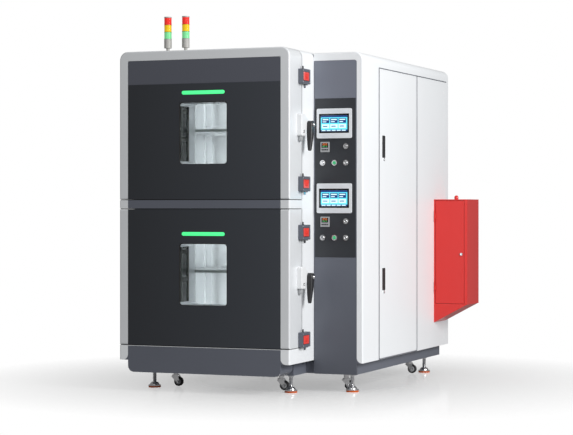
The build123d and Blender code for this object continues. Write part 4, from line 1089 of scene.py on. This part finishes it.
class CHAMBER_OT_cabinet(ChamberOperator, bpy.types.Operator):
    """Adds the side handles' frames and locks, the dark gap strips and seam lines of painted shade, and the
    rear louvres
    """

    bl_idname = "chamber.cabinet"
    bl_label = "Cabinet fittings"

    def make(self):
        self.side_handles()
        self.gap_shade_strips()
        self.frame_corners()
        self.louvres()
        self.panel_seam_shade()

    def side_handles(self):
        """Frame round each flush handle, and a lock under it."""
        bm = bmesh.new()
        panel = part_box("side_panel")[1].x
        rim, drop = 0.004, 0.014
        disc = ((0.0, 0.0005), (0.0045, 0.0005), (0.005, 0.0016))
        edge = ((0.0082, 0.0012), (0.0088, 0.0), (0.0088, -0.0015), (0.0, -0.0015))
        for side in SIDES:
            low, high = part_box(f"{side}_side_handle")
            frame_low = (high.x - 0.002, low.y - rim, low.z - rim)
            frame_high = (high.x + 0.0012, high.y + rim, high.z + rim)
            add_ring_plate(bm, frame_low, frame_high, rim - 0.0004, 0.006, axis=0)
            lock = Vector((panel, (low.y + high.y) / 2, low.z - drop))
            add_turned(bm, disc + edge, lock, (1, 0, 0), slot=1)
            key_half = Vector((0.0, 0.0006, 0.003))
            add_block(bm, lock - key_half, lock + key_half + Vector((0.0009, 0.0, 0.0)))
        finish_piece(bm, "side_handle_frames", ("black_plastic", "bright_steel"), "cabinet")

    def gap_shade_strips(self):
        """Dark strips in the flat gaps over and under the doors: painted shade in the gaps."""
        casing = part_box("chamber_casing")
        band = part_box("mid_band")
        sill_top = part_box("lower_door_shell")[0].z - (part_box("upper_door_shell")[0].z - band[1].z)
        tall = sizes().gap_strip
        inset = 0.004
        bm = bmesh.new()
        for z in (sill_top, band[1].z, band[0].z - tall - 0.0004):
            low = (casing[0].x + inset, band[0].y + inset, z + 0.0002)
            high = (casing[1].x - inset, band[1].y - 0.002, z + 0.0002 + tall)
            add_block(bm, low, high, bevel=0.0008)
        finish_piece(bm, "door_gap_strips", "seal_rubber", "cabinet")

    def frame_corners(self):
        """Dark corners with a hollow round edge, at the foot of the white frames."""
        radius = sizes().frame_corner
        bm = bmesh.new()
        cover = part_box("machine_front_cover")
        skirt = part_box("skirt")
        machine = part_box("machine_casing")[0]
        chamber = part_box("chamber_casing")[0]
        for x, side, front, foot in (
            (cover[1].x, 1, cover[0].y, machine.z),
            (skirt[1].x, 1, chamber.y, chamber.z),
            (skirt[0].x, -1, chamber.y, chamber.z),
        ):
            self.corner(bm, Vector((x, front, foot)), side, radius)
        finish_piece(bm, "frame_corner_plates", "slate_paint", "cabinet", smooth=False)

    def corner(self, bm, place, side, radius):
        """Thin plate between a straight corner and an arc."""
        steps = 10
        proud = Vector((0.0, -0.0003, 0.0))
        points = [place.copy()]
        for step in range(steps + 1):
            angle = math.pi / 2 * step / steps
            across = radius * (1 - math.sin(angle))
            up = radius * (1 - math.cos(angle))
            points.append(place + Vector((side * across, 0.0, up)))
        face = bm.faces.new([bm.verts.new(point + proud) for point in points])
        made = bmesh.ops.extrude_face_region(bm, geom=[face])["geom"]
        bmesh.ops.translate(bm, verts=pick(made, bmesh.types.BMVert), vec=(0.0, 0.0008, 0.0))

    def louvres(self):
        """Two columns of sloping blades in the rear openings."""
        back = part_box("machine_casing")[1].y
        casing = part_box("chamber_casing")
        width, pitch, rows = 0.300, 0.034, 14
        column_place, lowest = 0.180, 0.420
        half = Vector((width / 2 - 0.001, 0.006, 0.0007))
        bm = bmesh.new()
        for column in (-1, 1):
            x = (casing[0].x + casing[1].x) / 2 + column * column_place
            for row in range(rows):
                place = Vector((x, back - 0.008, lowest + (row + 0.5) * pitch))
                add_block(bm, place - half, place + half, turn=(place, -sizes().louvre_tilt, "X"))
        finish_piece(bm, "rear_louvre_blades", "white_paint", "cabinet")

    def panel_seam_shade(self):
        """Dark lines of painted shade in the joints round the side panel, and along the top of the sheet
        behind it.
        """
        low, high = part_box("side_panel")
        bm = bmesh.new()
        half = sizes().seam_width / 2
        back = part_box("machine_casing")[1].y - sizes().seam_end
        seams = [((y - half, low.z), (y + half, high.z)) for y in (low.y, high.y)]
        seams += [((low.y, z - half), (end, z + half)) for z, end in ((low.z, high.y), (high.z, back))]
        for start, end in seams:
            add_block(bm, (high.x - 0.001, *start), (high.x + 0.0003, *end), bevel=0.0001)
        finish_piece(bm, "side_panel_seams", "slate_paint", "cabinet")


class CHAMBER_OT_fire_box(ChamberOperator, bpy.types.Operator):
    """Adds the lock, the rivets and the pipe's cap to the extinguisher box"""

    bl_idname = "chamber.fire_box"
    bl_label = "Extinguisher box"

    def make(self):
        self.lock()
        self.rivets()

    def lock(self):
        """Lock barrel near the free edge of the box's door."""
        low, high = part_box("fire_box_door")
        height, edge = 0.707, 0.015
        disc = ((0.0, 0.0004), (0.0040, 0.0004), (0.0046, 0.0022))
        rim = ((0.0084, 0.0018), (0.0092, 0.0), (0.0, 0.0))
        bm = bmesh.new()
        add_turned(bm, disc + rim, (high.x - edge, low.y + 0.001, height), (0, -1, 0))
        finish_piece(bm, "fire_box_lock", "bright_steel", "fire_box_door")

    def rivets(self):
        """Rivets on the outer side, and the cap of the cylinder's pipe on the roof."""
        low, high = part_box("fire_box")
        rows, side, foot, head = 4, 0.030, 0.150, 0.050
        pitch = (high.z - low.z - foot - head) / (rows - 1)
        rivet = ((0.0, 0.0012), (0.002, 0.001), (0.0034, 0.0), (0.0, 0.0))
        bm = bmesh.new()
        for y in (low.y + side, high.y - side):
            for step in range(rows):
                add_turned(bm, rivet, (high.x - 0.0012, y, low.z + foot + step * pitch), (1, 0, 0), steps=12)
        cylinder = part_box("gas_cylinder")
        top = Vector(((low.x + high.x) / 2, (cylinder[0].y + cylinder[1].y) / 2, high.z))
        dome = ((0.0, 0.010), (0.006, 0.009), (0.010, 0.006))
        skirt = ((0.0125, 0.0), (0.0125, -0.006), (0.0, -0.006))
        add_turned(bm, dome + skirt, top, (0, 0, 1))
        finish_piece(bm, "fire_box_rivets", "red_paint", "cabinet")


class CHAMBER_OT_running_gear(ChamberOperator, bpy.types.Operator):
    """Adds threads to the feet, and treads, hubs and axle nuts to the casters"""

    bl_idname = "chamber.running_gear"
    bl_label = "Feet and casters"

    def make(self):
        self.threads()
        for name in CASTERS:
            self.wheel(name)
            self.nuts(name)

    def threads(self):
        """Threads on the stems of the levelling feet."""
        bm = bmesh.new()
        for low, high in solids_of("levelling_feet"):
            middle = (low + high) / 2
            outline = []
            start = sizes().pad_height + 0.018
            turns = 16
            core, root, crest, clear = 0.0085, 0.0092, 0.0102, 0.010
            pitch = (high.z - clear - start) / turns
            for step in range(turns):
                outline += [(root, start + step * pitch), (crest, start + (step + 0.5) * pitch)]
            outline = [(core, start), *outline, (core, high.z - clear)]
            add_turned(bm, outline, (middle.x, middle.y, 0.0), (0, 0, 1), steps=20)
        finish_piece(bm, "foot_threads", "bright_steel", "cabinet")

    def wheel(self, name):
        """Tread and hub discs of a caster wheel."""
        low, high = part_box(f"{name}_caster_wheel")
        middle = (low + high) / 2
        radius = (high.z - low.z) / 2
        half = sizes().tread_width / 2
        root, edge, crown = radius - 0.002, radius + 0.0004, radius + 0.0008
        tread = ((root, -half), (edge, -half), (crown, 0.0), (edge, half), (root, half), (root, -half))
        face = ((0.0055, 0.0002), (0.010, 0.0006), (0.015, 0.0004), (0.016, 0.0))
        hub = (*face, (0.016, -0.001), (0.0055, -0.001), face[0])
        bm = bmesh.new()
        add_turned(bm, tread, middle, (0, 1, 0), steps=48)
        for sign, y in ((-1, low.y), (1, high.y)):
            add_turned(bm, hub, (middle.x, y, middle.z), (0, sign, 0), slot=1, steps=40)
        finish_piece(bm, f"{name}_caster_tread", ("tyre_rubber", "limiter_grey"), f"{name}_caster_wheel")

    def nuts(self, name):
        """Axle nuts on both sides of a fork."""
        low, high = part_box(f"{name}_caster_fork")
        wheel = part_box(f"{name}_caster_wheel")
        middle = (wheel[0] + wheel[1]) / 2
        bm = bmesh.new()
        for sign, y in ((-1, low.y), (1, high.y)):
            outline = ((0.0, 0.004), (0.004, 0.004), (0.0062, 0.003), (0.0066, 0.0), (0.0, 0.0))
            add_turned(bm, outline, (middle.x, y, middle.z), (0, sign, 0), steps=6)
        finish_piece(bm, f"{name}_axle_nuts", "bright_steel", f"{name}_caster_fork")


class CHAMBER_OT_studio(ChamberOperator, bpy.types.Operator):
    """Makes the floor, the background, the soft lights and the camera"""

    bl_idname = "chamber.studio"
    bl_label = "Studio"

    def make(self):
        self.floor()
        self.world()
        self.light("key_light", (5.0, -2.3, 2.8), (0.3, -0.3, 0.9), 2.4, 290)
        self.light("front_light", (1.0, -7.0, 3.4), (0.0, -0.8, 1.0), 3.0, 55)
        self.light("top_light", (0.0, -0.5, 5.0), (0.0, 0.0, 0.0), 4.0, 30)
        self.camera()

    def floor(self):
        bm = bmesh.new()
        bmesh.ops.create_circle(bm, cap_ends=True, segments=96, radius=9.0)
        mesh = bpy.data.meshes.new("studio_floor")
        bm.to_mesh(mesh)
        bm.free()
        floor = bpy.data.objects.new("studio_floor", mesh)
        bpy.context.scene.collection.objects.link(floor)
        material = coated("studio_white", shade(colours().wall_white, 0.93), 0.12, spread=0.0, depth=0.0)
        tree = material.node_tree
        shader = tree.nodes["Principled BSDF"]
        reach = tree.nodes.new("ShaderNodeVectorMath")
        reach.operation = "LENGTH"
        tree.links.new(tree.nodes.new("ShaderNodeTexCoord").outputs["Object"], reach.inputs[0])
        fade = map_range(tree, reach.outputs["Value"], 0.6, 2.1, 0.62, 0.0)
        tree.links.new(fade, shader.inputs["Alpha"])
        mesh.materials.append(material)

    def world(self):
        world = bpy.data.worlds.new("studio_world")
        world.use_nodes = True
        tree = world.node_tree
        light = tree.nodes["Background"]
        light.inputs["Color"].default_value = (1.0, 1.0, 1.0, 1.0)
        light.inputs["Strength"].default_value = 0.24
        seen = tree.nodes.new("ShaderNodeBackground")
        seen.inputs["Color"].default_value = (*colours().wall_white, 1.0)
        paths = tree.nodes.new("ShaderNodeLightPath")
        mix = tree.nodes.new("ShaderNodeMixShader")
        tree.links.new(paths.outputs["Is Camera Ray"], mix.inputs["Fac"])
        tree.links.new(light.outputs["Background"], mix.inputs[1])
        tree.links.new(seen.outputs["Background"], mix.inputs[2])
        tree.links.new(mix.outputs["Shader"], tree.nodes["World Output"].inputs["Surface"])
        bpy.context.scene.world = world

    def light(self, name, place, target, size, energy):
        lamp = bpy.data.lights.new(name, "AREA")
        lamp.size = size
        lamp.energy = energy
        item = bpy.data.objects.new(name, lamp)
        item.location = place
        item.rotation_euler = (Vector(target) - Vector(place)).to_track_quat("-Z", "Y").to_euler()
        bpy.context.scene.collection.objects.link(item)

    def camera(self):
        lens = bpy.data.cameras.new("photo_camera")
        lens.sensor_width = 36.0
        lens.lens = CAMERA_LENS
        lens.shift_y = CAMERA_SHIFT
        lens.clip_end = 60.0
        camera = bpy.data.objects.new("photo_camera", lens)
        camera.location = CAMERA_PLACE
        camera.rotation_euler = (math.radians(90), 0.0, CAMERA_TURN)
        bpy.context.scene.collection.objects.link(camera)
        bpy.context.scene.camera = camera
        bpy.context.scene.view_settings.view_transform = "Standard"


STEPS = (
    CHAMBER_OT_finishes,
    CHAMBER_OT_windows,
    CHAMBER_OT_latches,
    CHAMBER_OT_handles,
    CHAMBER_OT_towers,
    CHAMBER_OT_instruments,
    CHAMBER_OT_cabinet,
    CHAMBER_OT_fire_box,
    CHAMBER_OT_running_gear,
    CHAMBER_OT_studio,
)


class CHAMBER_PT_panel(bpy.types.Panel):
    """Lists the chamber's steps, sizes and colours"""

    bl_idname = "CHAMBER_PT_panel"
    bl_label = "Battery Test Chamber"
    bl_space_type = "VIEW_3D"
    bl_region_type = "UI"
    bl_category = "Chamber"

    def draw(self, context):
        layout = self.layout
        for step in STEPS:
            layout.operator(step.bl_idname)
        for group in (context.scene.chamber_sizes, context.scene.chamber_colours):
            column = layout.column(align=True)
            for name in group.__annotations__:
                column.prop(group, name)


CLASSES = (ChamberSizes, ChamberColours, *STEPS, CHAMBER_PT_panel)


def register():
    """Registers the classes and the settings."""
    for item in CLASSES:
        bpy.utils.register_class(item)
    bpy.types.Scene.chamber_sizes = PointerProperty(type=ChamberSizes)
    bpy.types.Scene.chamber_colours = PointerProperty(type=ChamberColours)


def unregister():
    """Takes the classes and the settings away again."""
    del bpy.types.Scene.chamber_colours
    del bpy.types.Scene.chamber_sizes
    for item in reversed(CLASSES):
        bpy.utils.unregister_class(item)


def main():
    """Makes everything in order."""
    register()
    for step in STEPS:
        group, name = step.bl_idname.split(".")
        getattr(getattr(bpy.ops, group), name)()


if __name__ == "__main__":
    main()
